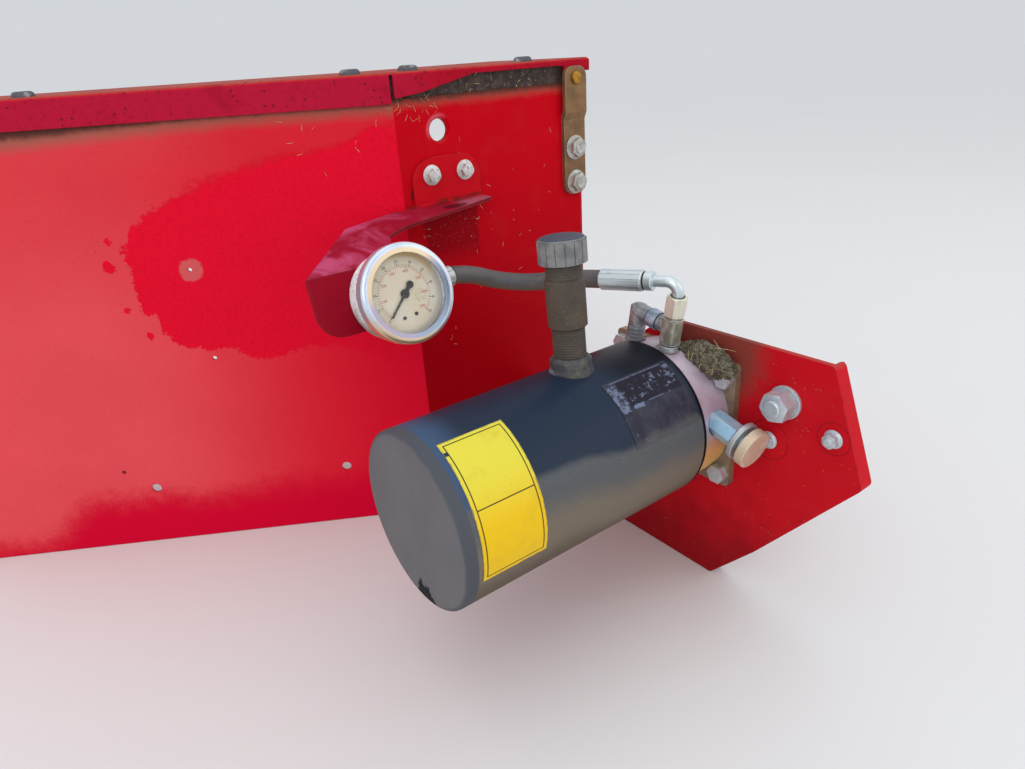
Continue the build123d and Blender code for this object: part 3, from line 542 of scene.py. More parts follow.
def block(start, end, radius, flat):
    """A step that adds a forged square bar with round corners."""
    soft = 0.5 * MM
    profile = [(0, start), (flat - soft, start), (radius, start + 2 * soft), (radius, end - 2 * soft)]
    profile += [(flat - soft, end), (0, end)]

    def squared(reach, angle):
        return min(reach, flat / max(abs(math.cos(angle)), abs(math.sin(angle))))

    return turned(profile, 64, squared)


def flange(start, height, radius, flats):
    """A step that adds a sloping flange under a hexagon."""
    soft, top = 0.3 * MM, start + 1.15 * height
    return turned([
        (0, start), (radius - soft, start), (radius, start + soft), (radius - 0.1 * MM, start + 0.45 * height),
        (flats / 2 * 1.06, top), (0, top),
    ])


def plain_ring(start, end, radius):
    """A step that adds a plain dark ring, seen only as a line round a fitting."""
    return turned([(0, start), (radius, start), (radius, end), (0, end)])


def washer(start, height, radius):
    """A step that adds a flat washer."""
    soft, end = 0.3 * MM, start + height
    return turned([
        (0, start), (radius - soft, start), (radius, start + soft), (radius, end - soft), (radius - soft, end),
        (0, end),
    ])


def threaded(start, end, radius, pitch):
    """A step that adds a threaded end with a chamfered tip."""
    depth = 0.3 * pitch
    profile = [(0, start), (radius - depth, start)]
    for turn in range(max(1, int((end - start - depth) / pitch))):
        base = start + (turn + 0.1) * pitch
        profile += [(radius - depth, base), (radius, base + 0.35 * pitch), (radius, base + 0.5 * pitch)]
    tip = max(end - depth, profile[-1][1] + 0.1 * pitch)
    return turned(profile + [(radius - depth, tip), (radius - 2.2 * depth, end), (0, end)], 32)


def leg_point(run, height):
    """A point of the panel's long leg, from its way along the leg and its height."""
    return FOLD_POINT + LEG_WAY * run + Vector((0, 0, height))


def enamel(name, paint, fade, marks=None, dusty=0.35, sheen=0.05):
    """Red enamel: faded by a mask from 0 to 1, dusty on top, scratched, chipped at its corners and paler along them,
    partly worn paint and partly a painted edge highlight.
    """
    coat = Finish(name, paint.red)
    wide = coat.noise(9.0, 3.0)
    fine = coat.noise(420.0, 5.0, 0.6)
    coat.lay(paint.faded_red, fade(coat) if callable(fade) else fade)
    coat.lay((160, 2, 22), wide.ramp(0.3, 0.7, 0.0, 0.14))
    film = coat.cloudy(0.50, 0.78, 38.0, 6.0, 0.65) * 0.05
    film = film + coat.faces(UP).ramp(0.35, 0.9) * dusty
    film = film + coat.specks(300.0, 0.09) * 0.18
    coat.lay(paint.dust, film)
    drawn_out = coat.mapped(turn=(0.3, 0.7, 0.5), stretch=(0.02, 1.0, 1.0))
    scratch = coat.noise(260.0, 2.0, 0.5, drawn_out).ramp(0.72, 0.77) * wide.ramp(0.52, 0.64)
    coat.lay((222, 118, 126), scratch * 0.35)
    worn = (coat.edges(0.0012) + fine * 0.10).ramp(0.13, 0.26)
    chip = worn * coat.cloudy(0.52, 0.62, 70.0, 3.0)
    # paler along sharp corners: worn paint and a painted highlight on the edge
    coat.lay((214, 92, 104), worn * 0.35)
    coat.lay((58, 30, 30), chip * 0.85)
    if marks:
        marks(coat)
    roughness = 0.34 + wide * 0.14 + film * 0.5 + chip * 0.3
    skin = coat.noise(900.0, 2.0, 0.5) * 0.5 + coat.noise(160.0, 2.0, 0.5) * 0.5
    normal = coat.bump(1 - chip, 0.00012, coat.bump(skin, 0.00004, 0.0009))
    return coat.close(roughness, normal, specular=sheen)


def panel_enamel(paint):
    """Enamel of the folded panel: washed-out outside an oily patch, dusty under the lid with a painted shadow below its
    lip, and painted light and shade: a brighter lit long leg with a paler band near its top, shade along its bottom,
    under the bracket and low on the front.
    """

    def leg_masks(coat):
        run, height = coat.along(LEG_WAY, FOLD_POINT), coat.along(UP)
        on_leg = run.ramp(0.0005, -0.0005)
        across, up = run - PATCH_RUN, height - PATCH_HEIGHT
        turn = up.maths("ARCTAN2", up, across) / (2 * math.pi) + 1
        outline = [(degrees / 360, reach / PATCH_REACH) for degrees, reach in PATCH_OUTLINE]
        reach = coat.curve(turn.maths("FRACT", turn), outline) * PATCH_REACH
        out = (across * across + up * up) ** 0.5 - reach
        lobes = coat.shaken((coat.noise(95.0, 3.0, 0.6) - 0.5) * 0.018, 0.008, 380.0, 3.0, 0.7)
        soft = height.ramp(0.095, 0.145, 0.0009, 0.0060)
        oil = (out + lobes).ramp(soft, -1 * soft)
        for drop_run, drop_height, size in PATCH_DROPS:
            drop = coat.away(leg_point(drop_run, drop_height)) + lobes * 0.5
            oil = oil.over(drop.ramp(size + 0.0006, size - 0.0008))
        ring = (coat.away(leg_point(-0.1782, 0.063)) + lobes * 0.35).ramp(0.0106, 0.0084)
        return run, height, (oil - ring).over(0.0) * on_leg, on_leg, ring * on_leg, lobes

    # Painted shade along the bottom of the long leg: there the red is deeper and not faded
    def painted_bottom_shade(coat, run, height, lobes):
        edge = coat.shaken(height + lobes * 1.4, 0.03, 14.0, 3.0) + run.ramp(-0.31, -0.38) * 0.036
        return edge.ramp(-0.126, -0.174)

    def front_side(coat):
        return coat.faces((-0.26, -0.96, 0)).ramp(0.0, 0.4)

    def fade(coat):
        run, height, oil, on_leg, ring, lobes = leg_masks(coat)
        pale = run.ramp(0.02, -0.26) * (0.60 + height.ramp(0.15, 0.0) * 0.40)
        # painted reflection: a paler band near the top of the long leg
        pale = pale.over((height + run * 0.2).ramp(0.095, 0.125) * 0.26)
        low_shade = painted_bottom_shade(coat, run, height, lobes)
        pale = pale.over(ring * 0.55).over(coat.cloudy(0.60, 0.74, 24.0, 4.0) * oil * 0.10)
        pale = pale * (1 - oil) * (1 - low_shade * 0.92) * on_leg * front_side(coat)
        return pale.over((1 - front_side(coat)) * coat.cloudy(0.42, 0.62, 8.0, 3.0) * 0.35)

    def marks(coat):
        back = coat.mixed(coat.colour, paint.dust, coat.cloudy(0.50, 0.68, 26.0, 5.0, 0.7) * 0.35)
        run, height, oil, on_leg, ring, lobes = leg_masks(coat)
        low_shade = painted_bottom_shade(coat, run, height, lobes) * on_leg
        # painted light: the lit long leg is brighter red, less so to the left and in the painted reflection band near
        # its top; oily paint gets the same red
        high = (height + run * 0.2).ramp(0.095, 0.125)
        lit_leg_red = (1 - run.ramp(0.02, -0.28) * 0.8) * (1 - high * 0.5)
        coat.lay((236, 16, 50), lit_leg_red.over(oil) * on_leg * 0.8)
        # painted shade: deeper red along the bottom of the long leg
        coat.lay((214, 2, 50), low_shade * 0.9)
        grain = coat.cloudy(0.46, 0.66, 330.0, 4.0, 0.75)
        coat.lay((186, 4, 34), grain * on_leg * (0.07 + oil * 0.20))
        coat.lay((206, 96, 96), ring * 0.75)
        coat.lay((140, 6, 26), coat.specks(240.0, 0.14, 0.4) * on_leg * 0.4)
        # dust and grime under the lid, with a painted shadow along the lid's lip, widest at the left
        edge = coat.shaken(height, 0.007, 90.0, 5.0, 0.7) + run.ramp(-0.10, -0.40) * 0.009
        coat.lay(paint.dust, (edge + on_leg * 0.0050).ramp(0.1695, 0.1820) * 0.65)
        coat.lay(paint.grime, edge.ramp(0.1745, 0.1805) * 0.75)
        coat.lay((70, 20, 24), coat.away(leg_point(-0.281, -0.117)).ramp(0.0022, 0.0014) * 0.8)
        on_front = 1 - on_leg
        # painted shade: the front face darker towards its bottom
        front_low_shade = coat.shaken(height, 0.04, 20.0, 3.0).ramp(0.15, -0.05) * on_front
        coat.lay((140, 1, 10), front_low_shade * 0.55)
        # painted shadow under the bracket arm, with dust specks in it
        shade = (coat.noise(60.0, 4.0, 0.7) - 0.5) * 0.008
        left, low = coat.along(RIGHT) + shade, height + shade
        under = left.ramp(-0.192, -0.186) * left.ramp(-0.133, -0.137) * low.ramp(0.040, 0.062)
        under = under * low.ramp(0.112, 0.100) * on_front
        coat.lay((112, 4, 18), under * 0.6)
        coat.lay(paint.dust, under * coat.specks(420.0, 0.20, 0.8) * 0.7)
        spot = coat.away((-0.194, -0.060, 0.107)) + lobes * 0.5
        coat.lay(paint.grime, spot.ramp(0.0062, 0.0036) * 0.85)
        # painted highlight on the upper left of the flared hole's rim
        rim = coat.away((-0.1647, -0.060, 0.1544)).ramp(0.0140, 0.0112)
        rim = rim * coat.along((-0.7, 0, 0.7), (-0.1647, 0, 0.1544)).ramp(0.0, 0.010)
        coat.lay((214, 98, 110), rim * 0.7)
        coat.colour = coat.mixed(back, coat.colour, front_side(coat))

    return enamel("panel enamel", paint, fade, marks, dusty=0.2, sheen=0.03)


def lid_enamel(paint):
    """Enamel of the lid: crimson lip with dirty spots, dust on top."""

    def marks(coat):
        lip = coat.faces(UP).ramp(0.6, 0.2)
        coat.lay((178, 22, 56), lip * 0.85)
        coat.lay((172, 2, 26), lip * coat.along(RIGHT).ramp(-0.21, -0.15) * 0.7)
        coat.lay((146, 6, 36), coat.cloudy(0.48, 0.66, 30.0, 5.0, 0.7) * 0.4)
        coat.lay((112, 10, 32), coat.cloudy(0.52, 0.66, 260.0, 5.0, 0.8) * 0.42)
        coat.lay((72, 18, 30), coat.specks(170.0, 0.20, 0.6) * 0.7)
        spot = coat.shaken(coat.away((-0.181, -0.068, 0.197)), 0.008, 160.0)
        coat.lay(paint.grime, spot.ramp(0.0060, 0.0035) * 0.85)

    return enamel("lid enamel", paint, 0.05, marks, dusty=0.5)


def bracket_enamel(paint):
    """Glossy enamel of the gauge bracket: a painted purple sheen on its arm, painted shade on its dark face, grime in
    its bend.
    """

    def marks(coat):
        off_tab = coat.along(UP).ramp(0.0985, 0.0965)
        arm = coat.faces(UP).ramp(0.35, 0.80) * off_tab
        west = coat.along(LEFT, (-0.215, 0, 0))
        coat.lay((138, 6, 32), off_tab * 0.85)
        mottle = coat.noise(30.0, 4.0, 0.6, distortion=0.8)
        # painted sheen: mottled purple gloss growing to the left along the arm, and a paler pink one at its right end
        bloom = west.ramp(-0.040, 0.050) * mottle.ramp(0.38, 0.62)
        coat.lay((198, 84, 124), arm * (bloom * 0.75 + 0.06))
        far = west.ramp(-0.048, -0.064) * mottle.ramp(0.30, 0.50)
        coat.lay((176, 108, 128), arm * far * 0.6)
        # painted shade on the steep faces below the arm, mottled
        face = off_tab * coat.faces(UP).ramp(0.35, 0.10)
        coat.lay((124, 14, 36), face * (0.40 + mottle.ramp(0.62, 0.38) * 0.35))
        coat.lay((126, 88, 70), coat.rubbed(0.0016, 240.0, 0.08, 0.18) * face * 0.6)
        bend = coat.along(UP, (0, 0, 0.0990)).size().ramp(0.0030, 0.0012)
        coat.lay(paint.grime, bend * coat.cloudy(0.42, 0.6, 90.0, 4.0) * 0.6)
        smear = coat.shaken(coat.stretched((-0.166, -0.074, 0.095), (0.26, 1.0, 0.6)), 0.004, 160.0)
        coat.lay((60, 18, 26), smear.ramp(0.0040, 0.0024) * arm * 0.75)

    return enamel("bracket enamel", paint, 0.0, marks, dusty=0.0, sheen=0.07)


def gusset_enamel(paint):
    """Enamel of the gusset, with a thin dark line painted round each small bolt where its pressed ring lies, and
    painted shade towards its bottom.
    """

    def marks(coat):
        for centre, radius in ((SMALL_NUT, 0.0115), (LOW_NUT, 0.0150)):
            coat.lay((110, 20, 28), (coat.away(centre) - radius).size().ramp(0.0007, 0.0002) * 0.5)
        # painted shade: darker towards the bottom
        low = coat.shaken(coat.along(UP), 0.10, 40.0, 5.0, 0.7).ramp(-0.09, -0.19)
        coat.lay((84, 14, 20), low * 0.60)
        heap = coat.shaken(coat.away((GUSSET_X, -0.284, 0.006)), 0.03, 70.0, 5.0, 0.7)
        coat.lay((106, 70, 58), heap.ramp(0.052, 0.026) * 0.75)
        coat.lay((150, 120, 84), coat.specks(240.0, 0.16, 0.45) * 0.5)

    return enamel("gusset enamel", paint, 0.06, marks, dusty=0.3)


def tank_enamel(paint):
    """Dark satin enamel of the tank: clean on top, lighter going round it with a painted reflection of the ground and a
    film of dust below, painted shade underneath and on top by the pump end, a painted sheen at its left end, black
    groove at its end.
    """
    coat = Finish("tank enamel", paint.tank)
    up = coat.along(UP, (0, 0, TANK_Z))
    clock = up.maths("ARCTAN2", coat.along(FRONT, (0, TANK_Y, 0)), up) * (180 / math.pi)
    run = coat.along(RIGHT)
    cloud = coat.noise(26.0, 5.0, 0.6) - 0.5
    brim = clock + cloud * 9.0 - run.ramp(-0.250, -0.192) * 9.0
    film = brim.ramp(55.5, 62.0)
    # painted shading: lighter going round from the top
    coat.lay((42, 52, 66), (clock + cloud * 10).ramp(24.0, 54.0) * 0.6)
    # painted sheen, bluish, at the left end
    coat.lay((84, 112, 150), run.ramp(-0.290, -0.316) * (0.45 + cloud * 0.3))
    # painted shade on top by the pump end
    coat.lay((14, 10, 20), run.ramp(-0.190, -0.155) * clock.ramp(42.0, 14.0) * 0.9)
    # a film of dust with a painted reflection of the ground in it, lighter and warmer going down
    coat.lay((92, 94, 96), film * 0.9)
    coat.lay((122, 110, 94), brim.ramp(70.0, 92.0) * 0.85)
    # painted shade underneath
    coat.lay((82, 68, 54), brim.ramp(100.0, 122.0) * 0.6)
    streak = coat.noise(120.0, 4.0, 0.6, coat.mapped(turn=(0, 0.6, 0), stretch=(1.0, 1.0, 0.12)))
    coat.lay((140, 132, 114), film * streak.ramp(0.58, 0.74) * 0.32)
    coat.lay((150, 144, 128), coat.specks(300.0, 0.10, 0.35) * (0.25 + film * 0.4))
    coat.lay((120, 118, 112), coat.rubbed(0.0014, 300.0, 0.10, 0.22) * 0.35)
    coat.lay((14, 15, 20), run.ramp(-0.1248, -0.1243))
    roughness = 0.34 + film * 0.25 + coat.noise(60.0, 4.0) * 0.10
    return coat.close(roughness, coat.bump(coat.noise(500.0, 3.0), 0.00003, 0.0012), specular=0.12)


def tank_end_finish(paint):
    """Dull grey end of the tank, with faint curved scratches, painted shade round its rounded rim and a painted shadow
    low on the rim.
    """
    coat = Finish("tank end", paint.tank_end)
    centre = (TANK_START_X, TANK_Y, TANK_Z)
    coat.lay((108, 107, 108), coat.cloudy(0.35, 0.7, 18.0, 4.0))
    lines = coat.noise(190.0, 3.0, 0.6, coat.mapped(centre, (0.5, 0, 0), (1.0, 1.0, 0.03))).ramp(0.60, 0.74)
    coat.lay((126, 125, 126), lines * 0.35)
    coat.lay((84, 86, 92), coat.cloudy(0.60, 0.74, 70.0, 5.0, 0.7) * 0.35)
    # painted shade round the rounded rim
    coat.lay((70, 74, 82), coat.shaken(coat.away(centre), 0.003, 50.0).ramp(0.0560, 0.0595) * 0.8)
    coat.lay((118, 114, 106), coat.rubbed(0.0015, 260.0, 0.12, 0.22) * 0.4)
    # painted shadow: a dark notch low on the rim
    chip = coat.shaken(coat.away((TANK_START_X, -0.2525, -0.1105)), 0.02, 120.0, 4.0, 0.7)
    coat.lay((16, 18, 24), chip.ramp(0.0130, 0.0115))
    return coat.close(0.7, coat.bump(coat.noise(400.0, 3.0) + lines * 0.5, 0.00004, 0.0012), specular=0.2)


def label_places(coat):
    """How far across and up the sheet a point lies, from 0 to 1, on the UV map of labels."""
    split = coat.node("ShaderNodeSeparateXYZ", (coat.node("ShaderNodeUVMap", uv_map="label"),))
    return split, split.other("Y")


def label_finish(paint):
    """Blank yellow label: thin dark border and one dividing line, on its own UV map."""
    coat = Finish("blank label", paint.label)
    across, up = label_places(coat)
    aspect = 2.0
    gap = (0.5 - (across - 0.5).size()).under((0.5 - (up - 0.5).size()) * aspect)
    border = gap.ramp(0.050, 0.056) * gap.ramp(0.074, 0.068)
    divider = (up - 0.497).size().ramp(0.0055, 0.0030) * gap.ramp(0.058, 0.064)
    coat.lay((224, 212, 66), up.ramp(0.30, 0.75))
    coat.lay((200, 168, 40), coat.cloudy(0.5, 0.75, 60.0, 4.0) * 0.4)
    coat.lay((150, 132, 92), coat.specks(300.0, 0.12) * 0.6)
    coat.lay((30, 28, 20), border.over(divider) * 0.92)
    coat.lay(paint.tank, across.ramp(0.075, 0.060) * up.ramp(0.885, 0.892) * up.ramp(0.925, 0.915))
    coat.lay((120, 112, 88), coat.shaken(gap, 0.05, 260.0, 3.0).ramp(0.016, 0.006) * 0.7)
    return coat.close(0.34 + coat.noise(90.0) * 0.1, coat.bump(coat.noise(300.0), 0.00002), specular=0.2)


def plate_finish():
    """Worn blank plate: silver flecks at its left and right, a dark window between, dull below."""
    coat = Finish("worn plate", (44, 45, 58))
    across, up = label_places(coat)
    flake = coat.noise(210.0, 6.0, 0.75)

    def window(left, right, low, high, soft=0.03):
        """1 inside a rectangle of the plate."""
        inside = across.ramp(left - soft, left + soft) * across.ramp(right + soft, right - soft)
        return inside * up.ramp(low - soft, low + soft) * up.ramp(high + soft, high - soft)

    coat.lay((58, 59, 70), coat.cloudy(0.42, 0.62, 70.0, 5.0, 0.7))
    coat.lay((30, 26, 38), window(0.17, 0.97, 0.54, 0.97, 0.015) * 0.9)
    worn = window(0.0, 0.15, 0.50, 0.93).over(window(0.0, 0.34, 0.49, 0.56, 0.02))
    worn = worn.over(window(0.80, 0.98, 0.62, 0.94) * 0.72).over(window(0.18, 0.80, 0.60, 0.93) * 0.45)
    line = window(0.10, 0.90, 0.955, 0.975, 0.006).over(window(0.30, 0.78, 0.535, 0.550, 0.004)) * 0.7
    bare = (flake + worn * 0.20).ramp(0.64, 0.69).over(line * coat.cloudy(0.40, 0.50, 120.0, 3.0))
    coat.lay((116, 126, 152), bare * 0.85)
    coat.lay((100, 98, 98), coat.shaken(up, 0.3, 40.0).ramp(0.16, 0.0) * 0.6)
    dents = coat.cloudy(0.62, 0.66, 120.0, 4.0, 0.7) * window(0.4, 1.0, 0.1, 0.5, 0.1)
    coat.lay((34, 36, 46), dents * 0.7)
    return coat.close(0.40, coat.bump(flake + bare, 0.00006), bare * 0.3, 0.15)


def zinc(name, tint, dirt, rough, metal):
    """Zinc plate with pale bloom, patches of dirt and small rust specks."""
    coat = Finish(name, tint)
    cloud = coat.noise(120.0, 4.0, 0.6)
    coat.lay((226, 228, 226), cloud.ramp(0.48, 0.70) * 0.5)
    stain = coat.cloudy(0.54, 0.70, 220.0, 5.0, 0.7)
    coat.lay((112, 104, 90), stain * dirt)
    coat.lay((116, 70, 42), coat.specks(420.0, 0.22, 0.4) * dirt * 0.8)
    # painted highlight along sharp edges
    coat.lay((236, 238, 240), coat.edges(0.0006).ramp(0.05, 0.25) * 0.4)
    normal = coat.bump(coat.noise(700.0, 3.0) * 0.6 + stain * 0.4, 0.00003, 0.0004)
    return coat.close(rough + stain * 0.2 + cloud * 0.1, normal, metal - stain * 0.3)


def yellow_zinc():
    """Weathered yellow zinc of the strap: brownish, blotched, dusty, with a painted highlight along its edges."""
    coat = Finish("weathered yellow zinc", (140, 104, 66))
    cloud = coat.noise(60.0, 5.0, 0.65)
    coat.lay((112, 84, 58), cloud.ramp(0.38, 0.68))
    coat.lay((152, 122, 88), coat.cloudy(0.55, 0.72, 180.0, 4.0) * 0.3)
    coat.lay((74, 56, 44), coat.specks(260.0, 0.16, 0.4) * 0.5)
    # painted highlight along the edges
    coat.lay((206, 196, 184), coat.edges(0.0012).ramp(0.05, 0.25) * 0.6)
    grain = coat.noise(300.0, 3.0, at=coat.mapped(stretch=(1, 1, 6)))
    return coat.close(0.40 + cloud * 0.15, coat.bump(grain, 0.00003, 0.0008), 0.3, 0.3)


def gold():
    """Yellow passivated rivet."""
    coat = Finish("gold rivet", (176, 130, 50))
    cloud = coat.noise(260.0, 4.0)
    coat.lay((104, 74, 36), cloud.ramp(0.42, 0.66) * 0.7)
    return coat.close(0.30 + cloud * 0.15, coat.bump(cloud, 0.00003), 0.9)


def dusty_steel(name, base=(92, 86, 80), dust=(118, 104, 86), amount=0.6, metal=0.3):
    """Steel fitting under a coat of dry dust."""
    coat = Finish(name, base)
    cloud = coat.noise(80.0, 5.0, 0.65)
    coat.lay(dust, cloud.ramp(0.35, 0.65) * amount)
    coat.lay((48, 44, 42), coat.cloudy(0.56, 0.70, 240.0, 5.0, 0.7) * 0.55)
    coat.lay((150, 136, 112), coat.specks(380.0, 0.2) * 0.5)
    coat.lay((138, 130, 120), (coat.edges(0.0008) + cloud * 0.04).ramp(0.06, 0.24) * 0.45)
    return coat.close(0.62 + cloud * 0.15, coat.bump(coat.noise(380.0, 5.0, 0.7), 0.00010, 0.0006), metal)


def weld_finish():
    """Bung on the tank: grey-blue paint under dust, a painted bright highlight round its foot."""
    coat = Finish("weld", (66, 68, 74))
    cloud = coat.noise(110.0, 5.0, 0.7)
    coat.lay((96, 92, 86), cloud.ramp(0.38, 0.62))
    coat.lay((40, 44, 52), coat.cloudy(0.55, 0.7, 240.0, 5.0) * 0.4)
    # painted highlight: a bright line round the foot
    foot = coat.along(NECK_WAY, (NECK_X, TANK_Y, TANK_Z)).ramp(0.064, 0.062)
    out = coat.stretched((NECK_X, TANK_Y, 0), (1, 1, 0)) + (cloud - 0.5) * 0.001
    coat.lay((128, 132, 140), out.ramp(0.0152, 0.0160) * foot * 0.6)
    normal = coat.bump(coat.noise(190.0, 3.0, 0.6) + coat.noise(420.0, 4.0) * 0.4, 0.0007, 0.0014)
    return coat.close(0.6, normal, specular=0.25)


def cap_plastic():
    """Grey plastic of the filler cap, with painted shade, dark and bluish, on its top."""
    coat = Finish("cap plastic", (108, 109, 112))
    cloud = coat.noise(90.0, 4.0, 0.6)
    coat.lay((134, 133, 132), cloud.ramp(0.38, 0.66))
    # painted shade: the top dark and bluish
    coat.lay((50, 58, 78), coat.faces(UP).ramp(0.4, 0.9) * 0.85)
    coat.lay((132, 122, 104), coat.specks(420.0, 0.22, 0.45) * 0.6)
    return coat.close(0.50 + cloud * 0.12, coat.bump(coat.noise(600.0, 4.0), 0.00005), specular=0.25)


def cast_alloy():
    """Satin aluminium of the pump head: black groove and bright rim by the tank, a painted tan reflection low down,
    dust on top.
    """
    coat = Finish("satin alloy", (192, 170, 188))
    cloud = coat.noise(50.0, 5.0, 0.6)
    run = coat.along(RIGHT)
    coat.lay((206, 192, 204), cloud.ramp(0.4, 0.65))
    coat.lay((124, 108, 112), coat.specks(300.0, 0.16, 0.35) * 0.5)
    # painted reflection: warm tan low down
    coat.lay((240, 194, 106), (coat.along(UP) + (cloud - 0.5) * 0.02).ramp(-0.040, -0.070) * 0.9)
    coat.lay((128, 112, 86), coat.shaken(coat.faces(UP), 0.9, 60.0, 5.0, 0.7).ramp(0.85, 1.25) * 0.6)
    coat.lay((230, 232, 236), run.ramp(-0.1186, -0.1190) * 0.8)
    coat.lay((14, 14, 16), run.ramp(-0.1194, -0.1196))
    turning = coat.noise(900.0, 2.0, at=coat.mapped(stretch=(1, 12, 12)))
    return coat.close(0.46 + cloud * 0.1, coat.bump(turning, 0.00003, 0.0006), 0.35)


def tan_steel():
    """Adapter plate with a grey-tan film."""
    coat = Finish("tan plate", (150, 132, 106))
    coat.lay((120, 108, 92), coat.cloudy(0.4, 0.65, 70.0, 5.0, 0.65))
    coat.lay((96, 70, 50), coat.specks(260.0, 0.2) * 0.6)
    return coat.close(0.48, coat.bump(coat.noise(500.0, 3.0), 0.00005, 0.0006), 0.3)


def polished():
    """Polished rim of the gauge, its colours painted reflections: bluish, tan low outside, tan high, mauve lower and
    blue low right round the inner lip, bright on the right.
    """
    coat = Finish("polished rim", (208, 220, 236))
    cloud = coat.noise(90.0, 3.0)
    up = coat.along((-0.35, 0.8 * math.sin(DIAL_TILT), 0.9 * math.cos(DIAL_TILT)), DIAL_CENTRE)
    side = coat.along(RIGHT, DIAL_CENTRE)
    coat.lay((190, 200, 214), cloud.ramp(0.4, 0.7))
    # painted reflections round the inner lip: mauve, tan high, blue low right
    inner = coat.away(DIAL_CENTRE).ramp(0.0312, 0.0304)
    lip = coat.mixed(screen(176, 160, 178), screen(232, 204, 158), up.ramp(0.004, 0.016))
    lip = coat.mixed(lip, screen(150, 166, 190), (side - up).ramp(0.012, 0.030))
    coat.lay(lip, inner * 0.85)
    # painted reflection: tan low outside
    low = coat.along((0.35, 0, 1), DIAL_CENTRE).ramp(-0.014, -0.030)
    coat.lay((214, 180, 128), (1 - inner) * low * 0.85)
    coat.lay((120, 108, 90), coat.specks(320.0, 0.14, 0.2) * 0.4)
    # painted highlight on the right
    right = (side + up * 0.4).ramp(0.008, 0.026) * (1 - inner)
    coat.lay((236, 242, 250), right * 0.8)
    normal = coat.bump(coat.noise(200.0, 3.0), 0.00001, 0.0005)
    return coat.close(0.24 + cloud * 0.08, normal, 0.7 - right * 0.4)


def speckled_case():
    """Side of the gauge's case: silver with a fine worn speckle, dirtier below."""
    coat = Finish("speckled case", (250, 252, 254))
    grain = coat.noise(620.0, 4.0, 0.7)
    coat.lay((166, 160, 156), grain.ramp(0.52, 0.64))
    low = coat.shaken(coat.along(UP, (0, 0, DIAL_CENTRE.z)), 0.02, 80.0).ramp(-0.004, -0.026)
    coat.lay((104, 88, 62), low * 0.75)
    return coat.close(0.42 + grain * 0.2, coat.bump(grain, 0.00006), 0.12)


def dial_face():
    """Cream dial, browner towards its upper rim, with a faded stamp and the pointer's dark pin."""
    coat = Finish("cream dial", (236, 222, 198))
    middle = DIAL_FRAME @ Vector((0, 0, DIAL_FACE))
    up = coat.along((0, math.sin(DIAL_TILT), math.cos(DIAL_TILT)), DIAL_CENTRE)
    side = coat.along(RIGHT, DIAL_CENTRE)
    out = coat.away(middle)
    coat.lay((242, 232, 212), coat.cloudy(0.4, 0.7, 60.0, 3.0))
    rim = out.ramp(0.0235, 0.0275)
    coat.lay((216, 176, 112), rim * up.ramp(0.000, 0.018) * 0.8)
    coat.lay((176, 178, 190), rim * (side - up).ramp(0.004, 0.024) * 0.5)
    stamp = coat.away(DIAL_FRAME @ Vector((0.0122, -0.0035, DIAL_FACE))).ramp(0.0058, 0.0042)
    coat.lay((196, 196, 152), stamp * coat.cloudy(0.40, 0.58, 700.0, 3.0) * 0.6)
    coat.lay((150, 134, 108), coat.specks(380.0, 0.10, 0.25) * 0.3)
    raised = coat.along(DIAL_OUT, middle).ramp(0.0004, 0.0006)
    coat.lay((34, 36, 30), out.ramp(0.0060, 0.0058) * out.ramp(0.0016, 0.0014).over(raised))
    return coat.close(0.5, coat.bump(coat.noise(900.0), 0.00001), specular=0.2)


def ink(name, shade):
    """Printing ink, slightly uneven."""
    coat = Finish(name, shade)
    coat.lay((150, 128, 110), coat.cloudy(0.5, 0.8, 900.0, 3.0) * 0.4)
    return coat.close()


def dark_metal():
    """Black metal of the pointer, the screws and the rings between fittings."""
    coat = Finish("pointer black", (30, 32, 26))
    cloud = coat.noise(500.0, 4.0)
    coat.lay((70, 72, 58), cloud.ramp(0.5, 0.7) * 0.6)
    return coat.close(0.45, coat.bump(cloud, 0.00002))


def clear_lens():
    """Clear lens: see-through, with a gloss that grows towards its rim."""
    coat = Finish("clear lens")
    haze = coat.cloudy(0.4, 0.8, 60.0, 4.0) * 0.05
    gloss = coat.node("ShaderNodeFresnel", {"IOR": 1.45})
    sockets = {"Base Color": (0.85, 0.87, 0.88, 1), "Roughness": 0.04, "Metallic": 0.0, "Specular IOR Level": 0.5}
    glass = coat.node("ShaderNodeBsdfPrincipled", sockets)
    clear = coat.node("ShaderNodeBsdfTransparent", {"Color": (0.985, 0.985, 0.98, 1)})
    both = coat.node("ShaderNodeMixShader", (gloss * 0.3 + haze, clear, glass))
    coat.node("ShaderNodeOutputMaterial", {"Surface": both})
    return coat.material


def hose_rubber():
    """Blue-grey hose with a fine cloth weave, and a painted tan reflection of the ground on its underside."""
    coat = Finish("hose rubber", (84, 81, 82))
    cloud = coat.noise(70.0, 4.0, 0.6)
    sockets = {"Vector": coat.place, "Scale": 700.0, "Distortion": 1.0, "Detail": 1.0}
    weave = coat.node("ShaderNodeTexWave", sockets, wave_type="BANDS", bands_direction="DIAGONAL")
    coat.lay((98, 93, 91), cloud.ramp(0.4, 0.65))
    # painted reflection: warm tan on the underside
    coat.lay((122, 102, 78), (coat.faces(UP) + (cloud - 0.5) * 0.5).ramp(-0.05, -0.75) * 0.8)
    coat.lay((134, 126, 112), coat.specks(340.0, 0.16, 0.4) * 0.5)
    return coat.close(0.62 + cloud * 0.1, coat.bump(weave * 0.4 + coat.noise(420.0, 4.0) * 0.6, 0.00006))


